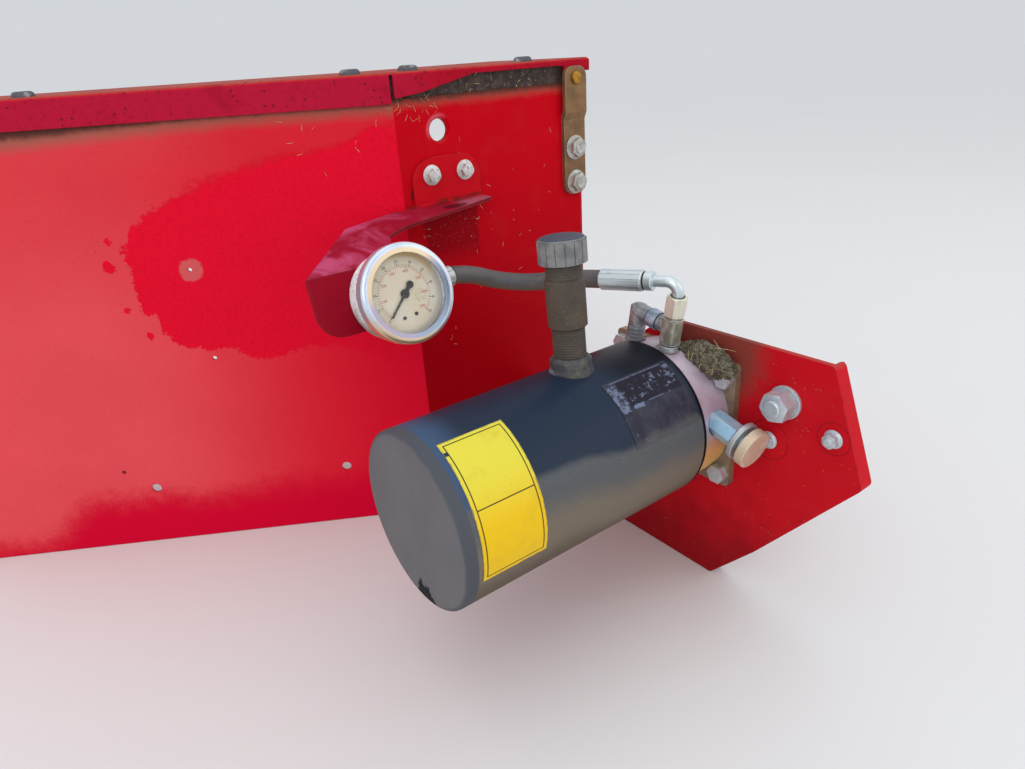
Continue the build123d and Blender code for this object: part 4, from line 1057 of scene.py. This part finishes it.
def seal_felt(name):
    """Dirt packed with dust and chaff, as on the seal strip."""
    coat = Finish(name, (46, 34, 32))
    cloud = coat.noise(120.0, 6.0, 0.75)
    coat.lay((78, 62, 54), cloud.ramp(0.42, 0.62))
    coat.lay((112, 94, 74), coat.specks(260.0, 0.3, 0.6) * 0.6)
    return coat.close(0.85, coat.bump(cloud, 0.0006, 0.0006))


def packed_dirt():
    """Grey-brown dirt with bits of chopped straw in it."""
    coat = Finish("packed dirt", (70, 64, 54))
    cloud = coat.noise(260.0, 6.0, 0.8)
    coat.lay((124, 117, 102), cloud.ramp(0.40, 0.62))
    coat.lay((168, 156, 126), coat.specks(520.0, 0.3, 0.8) * 0.7)
    return coat.close(0.9, coat.bump(cloud, 0.0010), specular=0.1)


def straw(paint):
    """Bits of dry straw."""
    coat = Finish("straw", paint.chaff)
    cloud = coat.noise(300.0, 3.0)
    coat.lay((166, 140, 96), cloud.ramp(0.4, 0.65))
    return coat.close(0.7, coat.bump(cloud, 0.00005))


def floor_finish(stage):
    """Pale floor with a barely seen grain."""
    coat = Finish("pale floor", stage.floor)
    coat.colour = coat.mixed(stage.floor, [part * 0.96 for part in stage.floor], coat.noise(3.0))
    return coat.close(0.75)


def flats_tree():
    """Flat bars round the body that comes in, along its Z axis."""
    sizes = dict.fromkeys(("radius", "start", "height", "width", "depth"), "length")
    flats = Shape("flats", count="count", **sizes, material="material")
    count, radius, start, height, width, depth = flats.given("count", *sizes)
    bar = flats.bar((depth, width, height), (radius - depth * 0.5, 0.0, start + height * 0.5))
    around = flats.ring(bar, count, flats.node("GeometryNodeInputIndex") * (2 * math.pi) / count)
    return flats.close(flats.node("GeometryNodeJoinGeometry", ([flats.given(), around],)))


def thread_tree():
    """A screw thread: one ridge wound up the Z axis."""
    sizes = dict.fromkeys(("radius", "start", "pitch", "turns", "ridge"), "length")
    thread = Shape("thread", **sizes, material="material")
    radius, start, pitch, turns, ridge = thread.given(*sizes)
    spiral = thread.node("GeometryNodeCurveSpiral", {
        "Resolution": 36, "Rotations": turns, "Start Radius": radius, "End Radius": radius, "Height": pitch * turns,
    })
    wound = {"Geometry": thread.tube(spiral, ridge, 5), "Translation": thread.xyz(z=start)}
    return thread.close(thread.node("GeometryNodeTransform", wound))


def marks_tree():
    """Short bars on an arc of the dial, round the Z axis, clockwise from the top."""
    sizes = dict.fromkeys(("radius", "length", "width", "level"), "length")
    marks = Shape("marks", count="count", **sizes, first="angle", sweep="angle", material="material")
    count, radius, length, width, level, first, sweep = marks.given("count", *sizes, "first", "sweep")
    turn = -1 * (first + marks.node("GeometryNodeInputIndex") * sweep / (count - 1))
    return marks.close(marks.ring(marks.bar((width, length, 0.08 * MM), (0.0, radius, level)), count, turn))


def bolts_tree():
    """One fastener set on each point, along one direction, each turned by chance."""
    bolts = Shape("bolts", fastener="object", way="way", seed="count", material="material")
    fastener, way, seed = bolts.given("fastener", "way", "seed")
    one = bolts.node("GeometryNodeObjectInfo", {"Object": fastener}, 4, transform_space="ORIGINAL")
    aim = bolts.node("FunctionNodeAlignRotationToVector", {"Vector": way}, axis="Z")
    turn = bolts.spun(aim, bolts.chance(0.0, math.pi / 3, seed))
    spots = bolts.node("GeometryNodeMeshToPoints", {"Mesh": bolts.given()})
    return bolts.close(bolts.node("GeometryNodeInstanceOnPoints", {"Points": spots, "Instance": one, "Rotation": turn}))


def chaff_tree():
    """Bits of straw strewn over the faces that come in."""
    sizes = dict.fromkeys(("density", "length", "thickness"), "length")
    chaff = Shape("chaff", **sizes, seed="count", material="material")
    density, length, thickness, seed = chaff.given(*sizes, "seed")
    sockets = {"Mesh": chaff.given(), "Density": density, "Seed": seed}
    strewn = chaff.node("GeometryNodeDistributePointsOnFaces", sockets, distribute_method="RANDOM")
    half = length * 0.5
    line = chaff.node("GeometryNodeCurveQuadraticBezier", {
        "Resolution": 5, "Start": chaff.xyz(-1 * half), "Middle": chaff.xyz(y=half * 0.16, z=half * 0.1),
        "End": chaff.xyz(half),
    })
    return chaff.close(chaff.node("GeometryNodeInstanceOnPoints", {
        "Points": strewn,
        "Instance": chaff.tube(line, thickness, 4),
        "Rotation": chaff.spun(strewn.other("Rotation"), chaff.chance(0.0, 2 * math.pi, seed + 1)),
        "Scale": chaff.chance(0.35, 1.25, seed + 2),
    }))


def paint_nodes(finishes):
    """Gives CAD nodes, whose names stand with spaces between, their finish."""
    for names, material in finishes.items():
        for name in names.split():
            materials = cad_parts[name].data.materials
            materials.clear()
            materials.append(material)


class StageOperator(bpy.types.Operator):
    """Adds the floor, the lamps, the world and the camera"""

    bl_idname = "tension_unit.stage"
    bl_label = "Stage"

    def lamp(self, name, place, size, power, tint):
        """A soft square lamp that looks at the tank."""
        light = bpy.data.lights.new(name, "AREA")
        light.size = size
        light.energy = power
        light.color = tint
        spot = Vector(place)
        aim = (Vector((-0.25, -0.15, 0.0)) - spot).to_track_quat("-Z", "Y")
        added(name, light).matrix_world = Matrix.Translation(spot) @ aim.to_matrix().to_4x4()

    def execute(self, context):
        scene = context.scene
        stage = scene.tension_stage
        scene.view_settings.view_transform = "Standard"

        camera = bpy.data.cameras.new("camera")
        camera.sensor_width = 36.0
        camera.lens = stage.lens
        camera.clip_start = 0.01
        scene.camera = added("camera", camera)
        forward = Vector((0.52744, 0.73841, -0.42019)).normalized()
        right = Vector((0.79555, -0.60283, -0.06075)).normalized()
        turned_to = Matrix((right, right.cross(forward), -forward)).transposed().to_4x4()
        scene.camera.matrix_world = Matrix.Translation((-0.488, -0.590, 0.210)) @ turned_to

        reach, level = 14.0, PANEL_BOTTOM_Z - 0.5 * MM
        corners = [(x * reach, y * reach, level) for x, y in ((-1, -1), (1, -1), (1, 1), (-1, 1))]
        ground = added("floor", sheet_of("floor", corners, [(0, 1, 2, 3)]))
        ground.data.materials.append(floor_finish(stage))

        self.lamp("key", (-1.9, -1.5, 1.5), 1.8, stage.key_power, (1.0, 0.99, 0.97))
        self.lamp("fill", (1.3, -1.8, 0.9), 1.6, stage.fill_power, (0.97, 0.98, 1.0))
        self.lamp("top", (-0.3, -0.3, 2.2), 2.2, stage.top_power, (1.0, 1.0, 1.0))

        scene.world = bpy.data.worlds.new("sky")
        scene.world.use_nodes = True
        graph = Graph(scene.world.node_tree)
        graph.tree.nodes.clear()
        path = graph.node("ShaderNodeLightPath")
        seen = path.other("Is Camera Ray").over(path.other("Is Transmission Ray"))
        sky = graph.node("ShaderNodeBackground", ((0.92, 0.95, 1.0, 1.0), stage.sky))
        behind = graph.node("ShaderNodeBackground", (full(stage.backdrop), 1.0))
        graph.node("ShaderNodeOutputWorld", (graph.node("ShaderNodeMixShader", (seen, sky, behind)),))
        return {"FINISHED"}


class HoseOperator(bpy.types.Operator):
    """Adds the pressure hose, one smooth curve from the gauge to the tee"""

    bl_idname = "tension_unit.hose"
    bl_label = "Pressure hose"

    def execute(self, context):
        diameter = context.scene.tension_fittings.hose_diameter
        line = bpy.data.curves.new("pressure hose", "CURVE")
        line.dimensions = "3D"
        line.resolution_u = 16
        line.bevel_depth = diameter / 2
        line.bevel_resolution = 10
        line.use_fill_caps = True
        spline = line.splines.new("NURBS")
        spline.points.add(len(HOSE_ROUTE) - 1)
        for point, (x, y, z), sag in zip(spline.points, HOSE_ROUTE, HOSE_SAG):
            point.co = (x * MM, y * MM, (z - sag) * MM, 1.0)
        spline.order_u = 3
        spline.use_endpoint_u = True
        line.materials.append(hose_rubber())
        hose = added("hose", line)
        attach(hose, "unit")
        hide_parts("pressure_hose")
        return {"FINISHED"}


class SheetOperator(bpy.types.Operator):
    """Paints the panel, the lid, the bracket, the gusset and the steel behind them"""

    bl_idname = "tension_unit.sheet_metal"
    bl_label = "Sheet metal"

    def execute(self, context):
        paint = context.scene.tension_paint
        paint_nodes({
            "front_panel": panel_enamel(paint),
            "lid": lid_enamel(paint),
            "gauge_bracket": bracket_enamel(paint),
            "gusset_plate": gusset_enamel(paint),
            "mount_angle": enamel("angle enamel", paint, 0.1, dusty=0.4),
            "packing_bar": dusty_steel("packing steel"),
            "seal_strip": seal_felt("dirty seal"),
            "corner_strap": yellow_zinc(),
            "strap_rivet": gold(),
            "lid_screws": zinc("screw zinc", (84, 84, 92), 0.7, 0.45, 0.5),
        })
        return {"FINISHED"}


class TankOperator(bpy.types.Operator):
    """Paints the tank and adds its blank label and worn plate"""

    bl_idname = "tension_unit.tank"
    bl_label = "Tank"

    def patch(self, name, corners, material):
        """A thin sheet that follows the tank, from corners as (x, clock) in order
        low left, low right, high right, high left; its faces have a UV map."""
        across, up = 14, 26
        proud = 0.3 * MM
        low_left, low_right, high_right, high_left = (Vector(corner) for corner in corners)
        shape = bmesh.new()
        uv = shape.loops.layers.uv.new("label")

        def grid(radius):
            made = {}
            for row in range(up + 1):
                for column in range(across + 1):
                    u, v = column / across, row / up
                    x, clock = low_left.lerp(low_right, u).lerp(high_left.lerp(high_right, u), v)
                    angle = math.radians(clock)
                    spot = (x, TANK_Y - radius * math.sin(angle), TANK_Z + radius * math.cos(angle))
                    made[row, column] = shape.verts.new(spot), (u, v)
            return made

        def face(*points):
            made = shape.faces.new([vertex for vertex, where in points])
            for loop, (vertex, where) in zip(made.loops, points):
                loop[uv].uv = where

        top, below = grid(TANK_RADIUS + proud), grid(TANK_RADIUS + proud / 2)
        for layer in (top, below):
            for row in range(up):
                for column in range(across):
                    places = ((row, column), (row, column + 1), (row + 1, column + 1), (row + 1, column))
                    face(*(layer[place] for place in places))
        rim = [(0, column) for column in range(across)] + [(row, across) for row in range(up)]
        rim += [(up, column) for column in range(across, 0, -1)] + [(row, 0) for row in range(up, 0, -1)]
        for here, there in zip(rim, rim[1:] + rim[:1]):
            face(top[here], top[there], below[there], below[here])
        bmesh.ops.recalc_face_normals(shape, faces=shape.faces)
        placed(name, mesh_from(name, shape), material)

    def execute(self, context):
        paint = context.scene.tension_paint
        paint_nodes({"tank_shell": tank_enamel(paint), "tank_end": tank_end_finish(paint)})
        label = [(-0.3158, 105.3), (-0.2683, 105.3), (-0.2678, 17.5), (-0.3140, 17.5)]
        plate = [(-0.1885, 70.5), (-0.1270, 70.0), (-0.1285, 22.5), (-0.1890, 22.5)]
        self.patch("label", label, label_finish(paint))
        self.patch("worn_plate", plate, plate_finish())
        return {"FINISHED"}


class PumpOperator(bpy.types.Operator):
    """Paints the pump, its plates, its drive and the relief valve"""

    bl_idname = "tension_unit.pump"
    bl_label = "Pump"

    def execute(self, context):
        paint_nodes({
            "pump_head": cast_alloy(),
            "pump_plate": tan_steel(),
            "bearing_cover": dusty_steel("cover steel", (74, 72, 70)),
            "drive_shaft": dusty_steel("shaft steel", (126, 122, 116), amount=0.35, metal=0.8),
            "relief_body": zinc("blue zinc", (166, 208, 234), 0.3, 0.26, 0.45),
            "relief_ring": zinc("ring zinc", (178, 182, 184), 0.3, 0.3, 0.5),
            # the knob's warm tint is a painted tan reflection on its silver
            "relief_knob": zinc("warm zinc", (210, 188, 162), 0.3, 0.4, 0.2),
            "plate_bolts": zinc("bolt zinc", (186, 190, 194), 0.5, 0.34, 0.5),
        })
        return {"FINISHED"}


class NeckOperator(bpy.types.Operator):
    """Adds the filler cap and the pipe threads, and paints the filler neck"""

    bl_idname = "tension_unit.neck"
    bl_label = "Filler neck"

    def execute(self, context):
        fittings = context.scene.tension_fittings
        pitch = fittings.thread_pitch
        dusty = dusty_steel("neck steel", (72, 62, 54), (92, 78, 64), 0.7, 0.1)
        paint_nodes({"filler_bung": weld_finish(), "lower_nipple neck_coupling upper_nipple": dusty})

        thread = thread_tree()
        brown = dusty_steel("thread steel", (66, 60, 54), (84, 76, 66), 0.7, 0.1)
        for name, radius, start, end in (
            ("cap_thread", 0.0119, 0.1250, 0.1345),
            ("lower_thread", 0.0108, 0.0710, 0.0905),
        ):
            turns = (end - start) / pitch
            sizes = {"radius": radius, "start": start, "pitch": pitch, "turns": turns, "ridge": 0.34 * pitch}
            mesh = thread.grow(bpy.data.meshes.new(name), **sizes, material=brown)
            placed(name, mesh, matrix=NECK_FRAME)

        plastic = cap_plastic()
        outside, inside, low, high = 0.0157, 0.0124, 0.1345, 0.1520
        cup = mesh_of("cap", turned([
            (0, high - 0.0040), (inside, high - 0.0040), (inside, low + 0.0004), (inside + 0.0004, low),
            (outside - 0.0004, low), (outside, low + 0.0005), (outside, high - 0.0026),
            (outside - 0.0007, high - 0.0012), (outside - 0.0022, high - 0.0005), (outside - 0.0060, high - 0.0001),
            (outside * 0.30, high), (0, high),
        ], 96))
        cup.materials.append(plastic)
        ribs = {"radius": outside + 0.0004, "start": low + 0.0003, "height": high - low - 0.0026}
        ribs.update(count=fittings.cap_ribs, width=0.0056, depth=0.0016, material=plastic)
        placed(
            "cap", flats_tree().grow(cup, **ribs),
            matrix=NECK_FRAME, body="cap", replaced=["filler_cap"],
        )
        return {"FINISHED"}


class HoseEndOperator(bpy.types.Operator):
    """Adds the two ribbed crimps and paints the tube and the gauge's elbow"""

    bl_idname = "tension_unit.hose_ends"
    bl_label = "Hose ends"

    def crimp(self, name, start, way, ribs, count, material, replaced):
        """A ribbed crimp sleeve with its collar, from the hose outwards."""
        radius, length, collar, reach = 0.0073, 0.0345, 0.0071, 0.0070
        place = local_frame(start, way)
        sleeve = mesh_of(name, turned([
            (0, 0), (radius - 0.0007, 0), (radius - 0.0002, 0.0004), (radius, 0.0014), (radius, length - 0.0014),
            (radius - 0.0002, length - 0.0004), (radius - 0.0009, length), (collar - 0.0009, length + 0.0001),
            (collar - 0.0009, length + 0.0011), (collar, length + 0.0014), (collar, length + reach - 0.0005),
            (collar - 0.0005, length + reach), (0, length + reach),
        ], 64))
        sizes = {"radius": radius + 0.0004, "start": 0.0010, "height": length - 0.0024, "width": 0.0031}
        ribbed = ribs.grow(sleeve, count=count, **sizes, depth=0.0014, material=material)
        placed(name, ribbed, matrix=place, replaced=[replaced])
        ring = mesh_of(name, plain_ring(length + 0.0001, length + 0.0010, collar - 0.0002))
        placed(name + "_ring", ring, dark_metal(), place)

    def execute(self, context):
        count = context.scene.tension_fittings.crimp_ribs
        route = [Vector(place) * MM for place in HOSE_ROUTE]
        bright = zinc("crimp zinc", (210, 222, 224), 0.25, 0.26, 0.7)
        dull = zinc("fitting zinc", (196, 198, 194), 0.45, 0.34, 0.6)
        ribs = flats_tree()
        self.crimp("tee_crimp_sleeve", route[-1], route[-1] - route[-2], ribs, count, bright, "tee_crimp")
        self.crimp("gauge_crimp_sleeve", route[0], route[0] - route[1], ribs, count, dull, "gauge_crimp")
        paint_nodes({"bent_tube": bright, "gauge_elbow gauge_locknut": dull})
        return {"FINISHED"}


class FittingOperator(bpy.types.Operator):
    """Adds the port adapter, the forged tee, its branch and the swivel nut"""

    bl_idname = "tension_unit.port_fittings"
    bl_label = "Port fittings"

    def execute(self, context):
        cream = zinc("tee zinc", (162, 159, 143), 0.45, 0.32, 0.5)
        grey = zinc("elbow zinc", (144, 148, 152), 0.55, 0.34, 0.5)
        plain = zinc("adapter zinc", (176, 182, 182), 0.5, 0.34, 0.5)
        nut = zinc("nut zinc", (226, 222, 202), 0.30, 0.26, 0.6)
        blue = zinc("collar zinc", (150, 164, 188), 0.40, 0.26, 0.5)
        dark = dark_metal()

        adapter = [
            (0, 0.0545), (0.0064, 0.0545), (0.0070, 0.0551), (0.0070, 0.0594), (0.0066, 0.0600),
            (0.0062, 0.0601), (0.0062, 0.0609), (0.0069, 0.0611), (0.0069, 0.0616), (0, 0.0616),
        ]
        tip = [(0, 0.0810), (0.0060, 0.0810), (0.0060, 0.0834), (0, 0.0834)]
        stub = [
            (0, 0), (0.0062, 0), (0.0062, 0.0082), (0.0057, 0.0088), (0.0057, 0.0098),
            (0.0062, 0.0102), (0.0062, 0.0118), (0, 0.0118),
        ]
        collar = [
            (0, 0.0120), (0.0067, 0.0120), (0.0073, 0.0127), (0.0073, 0.0203), (0.0067, 0.0210), (0, 0.0210),
        ]
        round_end = 0.0063
        bend = [(0, 0.0208), (0.0060, 0.0208), (0.0060, 0.0222), (round_end, 0.0228)]
        for step in range(9):
            angle = math.pi / 2 * step / 8
            reach = round_end * math.cos(angle) if step < 8 else 0
            bend.append((reach, BRANCH_REACH + round_end * math.sin(angle)))
        leg = [(0, 0.0430), (0.0059, 0.0430)]
        for rib in range(5):
            foot = 0.0462 + 0.0032 * rib
            leg += [(0.0059, foot - 0.0003), (0.0068, foot), (0.0069, foot + 0.0009)]
            leg += [(0.0068, foot + 0.0018), (0.0059, foot + 0.0021)]
        leg += [(0.0059, 0.0620), (0, 0.0620)]
        nut_foot, nut_top = 0.0834, 0.0985
        tee_rings = plain_ring(0.0602, 0.0609, 0.0068), plain_ring(nut_top - 0.001, nut_top + 0.0001, 0.0053)
        branch_rings = plain_ring(0.0116, 0.0122, 0.0068), plain_ring(0.0209, 0.0215, 0.0066)

        for name, place, material, node, *steps in (
            ("port_fitting", TEE_FRAME, plain, "port_adapter", turned(adapter, 64)),
            ("tee_fitting", TEE_FRAME, cream, "tee_body", block(0.0618, 0.0815, 0.0076, 0.0062), turned(tip, 64)),
            ("tee_stub", BRANCH_FRAME, grey, None, turned(stub, 64)),
            ("branch_collar", BRANCH_FRAME, blue, None, turned(collar, 64)),
            ("branch_bend", BRANCH_FRAME, grey, "branch_elbow", turned(bend, 64)),
            ("branch_leg", LEG_FRAME, grey, None, turned(leg, 64), block(0.0612, 0.0775, 0.0066, 0.0060)),
            ("union_nut", TEE_FRAME, nut, "swivel_nut", hexagon(nut_foot, nut_top - nut_foot, 0.0140)),
            ("tee_rings", TEE_FRAME, dark, None, *tee_rings),
            ("branch_rings", BRANCH_FRAME, dark, None, *branch_rings),
        ):
            placed(name, mesh_of(name, *steps), material, place, replaced=[node] if node else ())
        return {"FINISHED"}


class GaugeOperator(bpy.types.Operator):
    """Paints the gauge and adds the print of its dial"""

    bl_idname = "tension_unit.gauge"
    bl_label = "Gauge"

    def number(self, words, size, place):
        """A printed number as a flat mesh in the dial's own frame."""
        text = bpy.data.curves.new("number", "FONT")
        text.body = words
        text.size = size
        text.align_x = "CENTER"
        text.align_y = "CENTER"
        text.extrude = 0.04 * MM
        text.resolution_u = 2
        mesh = mesh_after(added("number", text))
        mesh.transform(Matrix.Translation(place))
        return mesh

    def screw(self, side, level):
        """A step that adds one small screw head low on the dial."""
        head = turned([(0, 0), (0.0013, 0), (0.0013, 0.0004), (0.0007, 0.0007), (0, 0.0007)], 20)

        def add(shape):
            before = len(shape.verts)
            head(shape)
            shape.verts.ensure_lookup_table()
            for vertex in shape.verts[before:]:
                vertex.co += Vector((0.0004 + side * 0.0047, -0.0155 + side * 0.0005, level))

        return add

    def execute(self, context):
        fittings = context.scene.tension_fittings
        paint_nodes({
            "gauge_case": speckled_case(),
            "gauge_bezel": polished(),
            "gauge_dial": dial_face(),
            "gauge_lens": clear_lens(),
            "gauge_pointer": dark_metal(),
        })
        black, red = ink("black ink", (34, 36, 30)), ink("red ink", (206, 92, 84))
        level = DIAL_FACE + 0.06 * MM
        first, sweep = math.radians(225), math.radians(270)
        marks = marks_tree()
        for name, count, radius, length, width, material, slot in (
            ("outer_marks", fittings.outer_marks, 0.0197, 0.0011, 0.00022, black, "black_paint"),
            ("outer_long_marks", 11, 0.0199, 0.0016, 0.00050, black, "black_paint"),
            ("inner_marks", fittings.inner_marks, 0.0185, 0.0011, 0.00022, red, "red_paint"),
            ("inner_long_marks", 8, 0.0183, 0.0015, 0.00036, red, "red_paint"),
        ):
            arc = {"level": level, "first": first, "sweep": sweep}
            sizes = {"count": count, "radius": radius, "length": length, "width": width}
            mesh = marks.grow(bpy.data.meshes.new(name), **sizes, **arc, material=material)
            placed(name, mesh, matrix=DIAL_FRAME)

        for name, count, step, radius, size, material, slot in (
            ("outer_numbers", 11, 5, 0.0223, 0.0026, black, "black_paint"),
            ("inner_numbers", 8, 100, 0.0157, 0.0028, red, "red_paint"),
        ):
            joined = bmesh.new()
            for place in range(count):
                angle = first + sweep * place / (count - 1)
                spot = Vector((radius * math.sin(angle), radius * math.cos(angle), level))
                joined.from_mesh(self.number(str(place * step), size, spot))
            placed(name, mesh_from(name, joined), material, DIAL_FRAME)

        screws = mesh_of("dial_screws", self.screw(-1, level), self.screw(1, level))
        placed("dial_screws", screws, dark_metal(), DIAL_FRAME)
        return {"FINISHED"}


class FastenerOperator(bpy.types.Operator):
    """Adds the bolts, nuts and washers of the strap, the bracket, the foot and the gusset"""

    bl_idname = "tension_unit.fasteners"
    bl_label = "Fasteners"

    def execute(self, context):
        pale = zinc("pale bolt zinc", (170, 166, 158), 0.95, 0.36, 0.45)
        white = zinc("white bolt zinc", (204, 200, 196), 0.95, 0.34, 0.45)
        bright = zinc("bright bolt zinc", (188, 196, 204), 0.45, 0.30, 0.4)
        strap_spots = [(-0.023, PANEL_Y, level) for level in (0.1244, 0.0934)]
        foot_spots = [(-0.058, PANEL_Y, level) for level in (-0.112, -0.142, -0.172)]
        bracket_spots = [(x, PANEL_Y, 0.121) for x in (-0.1783, -0.1459)]
        m10, m8_back, m8, m12, m6 = 0.015, 0.013, 0.010, 0.019, 0.009  # across the flats
        m10_flange = flange(0.0040, 0.0018, 0.0109, m10)
        small_back = (
            hexagon(-0.0104, 0.0064, m6, high_chamfer=False), washer(-0.0045, 0.0050, 0.0030),
            flange(0.0, 0.0018, 0.0066, m6),
        )
        tree = bolts_tree()
        for name, node, way, material, seed, spots, *steps in (
            (
                "strap_nuts", "strap_bolts", FRONT, pale, 3, strap_spots,
                hexagon(-0.0284, 0.0064, m10, high_chamfer=False), washer(-0.0230, 0.0270, 0.0050), m10_flange,
                hexagon(0.0045, 0.0065, m10, low_chamfer=False), threaded(0.0110, 0.0118, 0.0050, 0.0015),
            ),
            (
                "foot_screws", "foot_bolts", FRONT, pale, 5, foot_spots,
                hexagon(-0.0300, 0.0080, m10, high_chamfer=False), washer(-0.0230, 0.0272, 0.0050), m10_flange,
                hexagon(0.0045, 0.0059, m10, low_chamfer=False),
            ),
            (
                "bracket_screws", "bracket_bolts", FRONT, white, 8, bracket_spots,
                hexagon(-0.0100, 0.0080, m8_back, high_chamfer=False), washer(-0.0024, 0.0058, 0.0040),
                flange(0.0030, 0.0016, 0.0082, m8), hexagon(0.0035, 0.0059, m8, low_chamfer=False),
            ),
            (
                "big_gusset_nut", "gusset_bolts", LEFT, bright, 2, [(GUSSET_X, -0.344, -0.0175)],
                hexagon(-0.0104, 0.0064, m12, high_chamfer=False), washer(-0.0045, 0.0050, 0.0060),
                washer(0.0, 0.0025, 0.0120), hexagon(0.0025, 0.0130, m12),
                threaded(0.0153, 0.0175, 0.0062, 0.0017),
            ),
            (
                "small_gusset_nut", "gusset_bolts", LEFT, bright, 4, [SMALL_NUT], *small_back,
                hexagon(0.0010, 0.0054, m6, low_chamfer=False), threaded(0.0060, 0.0080, 0.0030, 0.0010),
            ),
            (
                "low_gusset_nut", "gusset_bolts", LEFT, bright, 6, [LOW_NUT], *small_back,
                hexagon(0.0010, 0.0030, m6, low_chamfer=False),
            ),
        ):
            model = added(name, mesh_of(name, *steps))
            mesh = tree.grow(sheet_of(name, spots), fastener=model, way=way, seed=seed, material=material)
            bpy.data.objects.remove(model)
            placed(name, mesh, replaced=[node])
        return {"FINISHED"}


class ChaffOperator(bpy.types.Operator):
    """Strews straw over the panel and along its seal, and heaps dirt on the pump"""

    bl_idname = "tension_unit.chaff"
    bl_label = "Chaff"

    def heap(self):
        """A lumpy mound of dirt in the corner between the pump head, its plate and the gusset."""
        shape = bmesh.new()
        bmesh.ops.create_icosphere(shape, subdivisions=5, radius=1.0)
        for vertex in shape.verts:
            lump = noise.noise(vertex.co * 3.1) * 0.16 + noise.noise(vertex.co * 9.0) * 0.10
            lump += noise.noise(vertex.co * 26.0) * 0.05
            spot = vertex.co * (1 + lump)
            spot = Vector((spot.x * 0.0088, spot.y * 0.0275, spot.z * 0.0130))
            spot.z -= 0.10 * abs(spot.y)
            vertex.co = spot + Vector((-0.0952, -0.2800, -0.0020))
        return mesh_from("dirt_heap", shape)

    def execute(self, context):
        tree = chaff_tree()
        material = straw(context.scene.tension_paint)

        def on_panel(x, z):
            return x, PANEL_Y - 0.3 * MM, z

        def on_seal(x, z):
            return x, PANEL_Y + 0.7 * MM, z

        def on_leg(run, height):
            return FOLD_POINT + LEG_OUT * 0.3 * MM + LEG_WAY * run + Vector((0, 0, height))

        def patch(place, left, right, low, high):
            corners = ((left, low), (right, low), (right, high), (left, high))
            return sheet_of("patch", [place(*corner) for corner in corners], [(0, 1, 2, 3)])

        heap = self.heap()
        for name, mesh, density, length, thickness, seed in (
            ("leg_chaff", patch(on_leg, -0.090, -0.003, 0.128, 0.178), 2600.0, 0.0045, 0.00013, 19),
            ("panel_chaff", patch(on_panel, -0.192, -0.045, -0.010, 0.150), 900.0, 0.0040, 0.00013, 11),
            ("fleck_chaff", patch(on_panel, -0.190, -0.060, 0.052, 0.092), 2600.0, 0.0012, 0.00022, 12),
            ("lip_chaff", patch(on_panel, -0.203, -0.160, 0.164, 0.181), 26000.0, 0.0055, 0.00013, 13),
            ("seal_chaff", patch(on_seal, -0.150, -0.045, 0.180, 0.194), 9000.0, 0.0050, 0.00020, 14),
            ("left_trail", patch(on_panel, -0.190, -0.184, 0.040, 0.090), 16000.0, 0.0034, 0.00016, 15),
            ("right_trail", patch(on_panel, -0.139, -0.134, 0.046, 0.088), 16000.0, 0.0034, 0.00016, 16),
            ("low_trail", patch(on_panel, -0.175, -0.168, -0.036, -0.012), 16000.0, 0.0030, 0.00016, 17),
            ("heap_chaff", heap, 7000.0, 0.0150, 0.00014, 18),
        ):
            sizes = {"density": density, "length": length, "thickness": thickness}
            placed(name, tree.grow(mesh, **sizes, seed=seed, material=material))
        placed("dirt_heap", heap, packed_dirt())
        return {"FINISHED"}


class UnitPanel(bpy.types.Panel):
    """Lists the pieces of the tension unit"""

    bl_idname = "VIEW3D_PT_tension_unit"
    bl_label = "Bale tension unit"
    bl_space_type = "VIEW_3D"
    bl_region_type = "UI"
    bl_category = "Tension unit"

    def draw(self, context):
        for operator in OPERATORS:
            self.layout.operator(operator.bl_idname)
        for settings in (context.scene.tension_paint, context.scene.tension_fittings, context.scene.tension_stage):
            for name in settings.__annotations__:
                self.layout.prop(settings, name)


OPERATORS = (
    StageOperator, HoseOperator, SheetOperator, TankOperator, PumpOperator, NeckOperator, HoseEndOperator,
    FittingOperator, GaugeOperator, FastenerOperator, ChaffOperator,
)
CLASSES = (PaintSettings, FittingSettings, StageSettings, *OPERATORS, UnitPanel)


def register():
    """Adds the settings, operators and panel to Blender."""
    for kind in CLASSES:
        bpy.utils.register_class(kind)
    bpy.types.Scene.tension_paint = PointerProperty(type=PaintSettings)
    bpy.types.Scene.tension_fittings = PointerProperty(type=FittingSettings)
    bpy.types.Scene.tension_stage = PointerProperty(type=StageSettings)


def unregister():
    """Takes them out again."""
    del bpy.types.Scene.tension_stage
    del bpy.types.Scene.tension_fittings
    del bpy.types.Scene.tension_paint
    for kind in reversed(CLASSES):
        bpy.utils.unregister_class(kind)


def main():
    """Dresses the unit."""
    register()
    bpy.ops.tension_unit.stage()
    bpy.ops.tension_unit.hose()
    bpy.ops.tension_unit.sheet_metal()
    bpy.ops.tension_unit.tank()
    bpy.ops.tension_unit.pump()
    bpy.ops.tension_unit.neck()
    bpy.ops.tension_unit.hose_ends()
    bpy.ops.tension_unit.port_fittings()
    bpy.ops.tension_unit.gauge()
    bpy.ops.tension_unit.fasteners()
    bpy.ops.tension_unit.chaff()


if __name__ == "__main__":
    main()
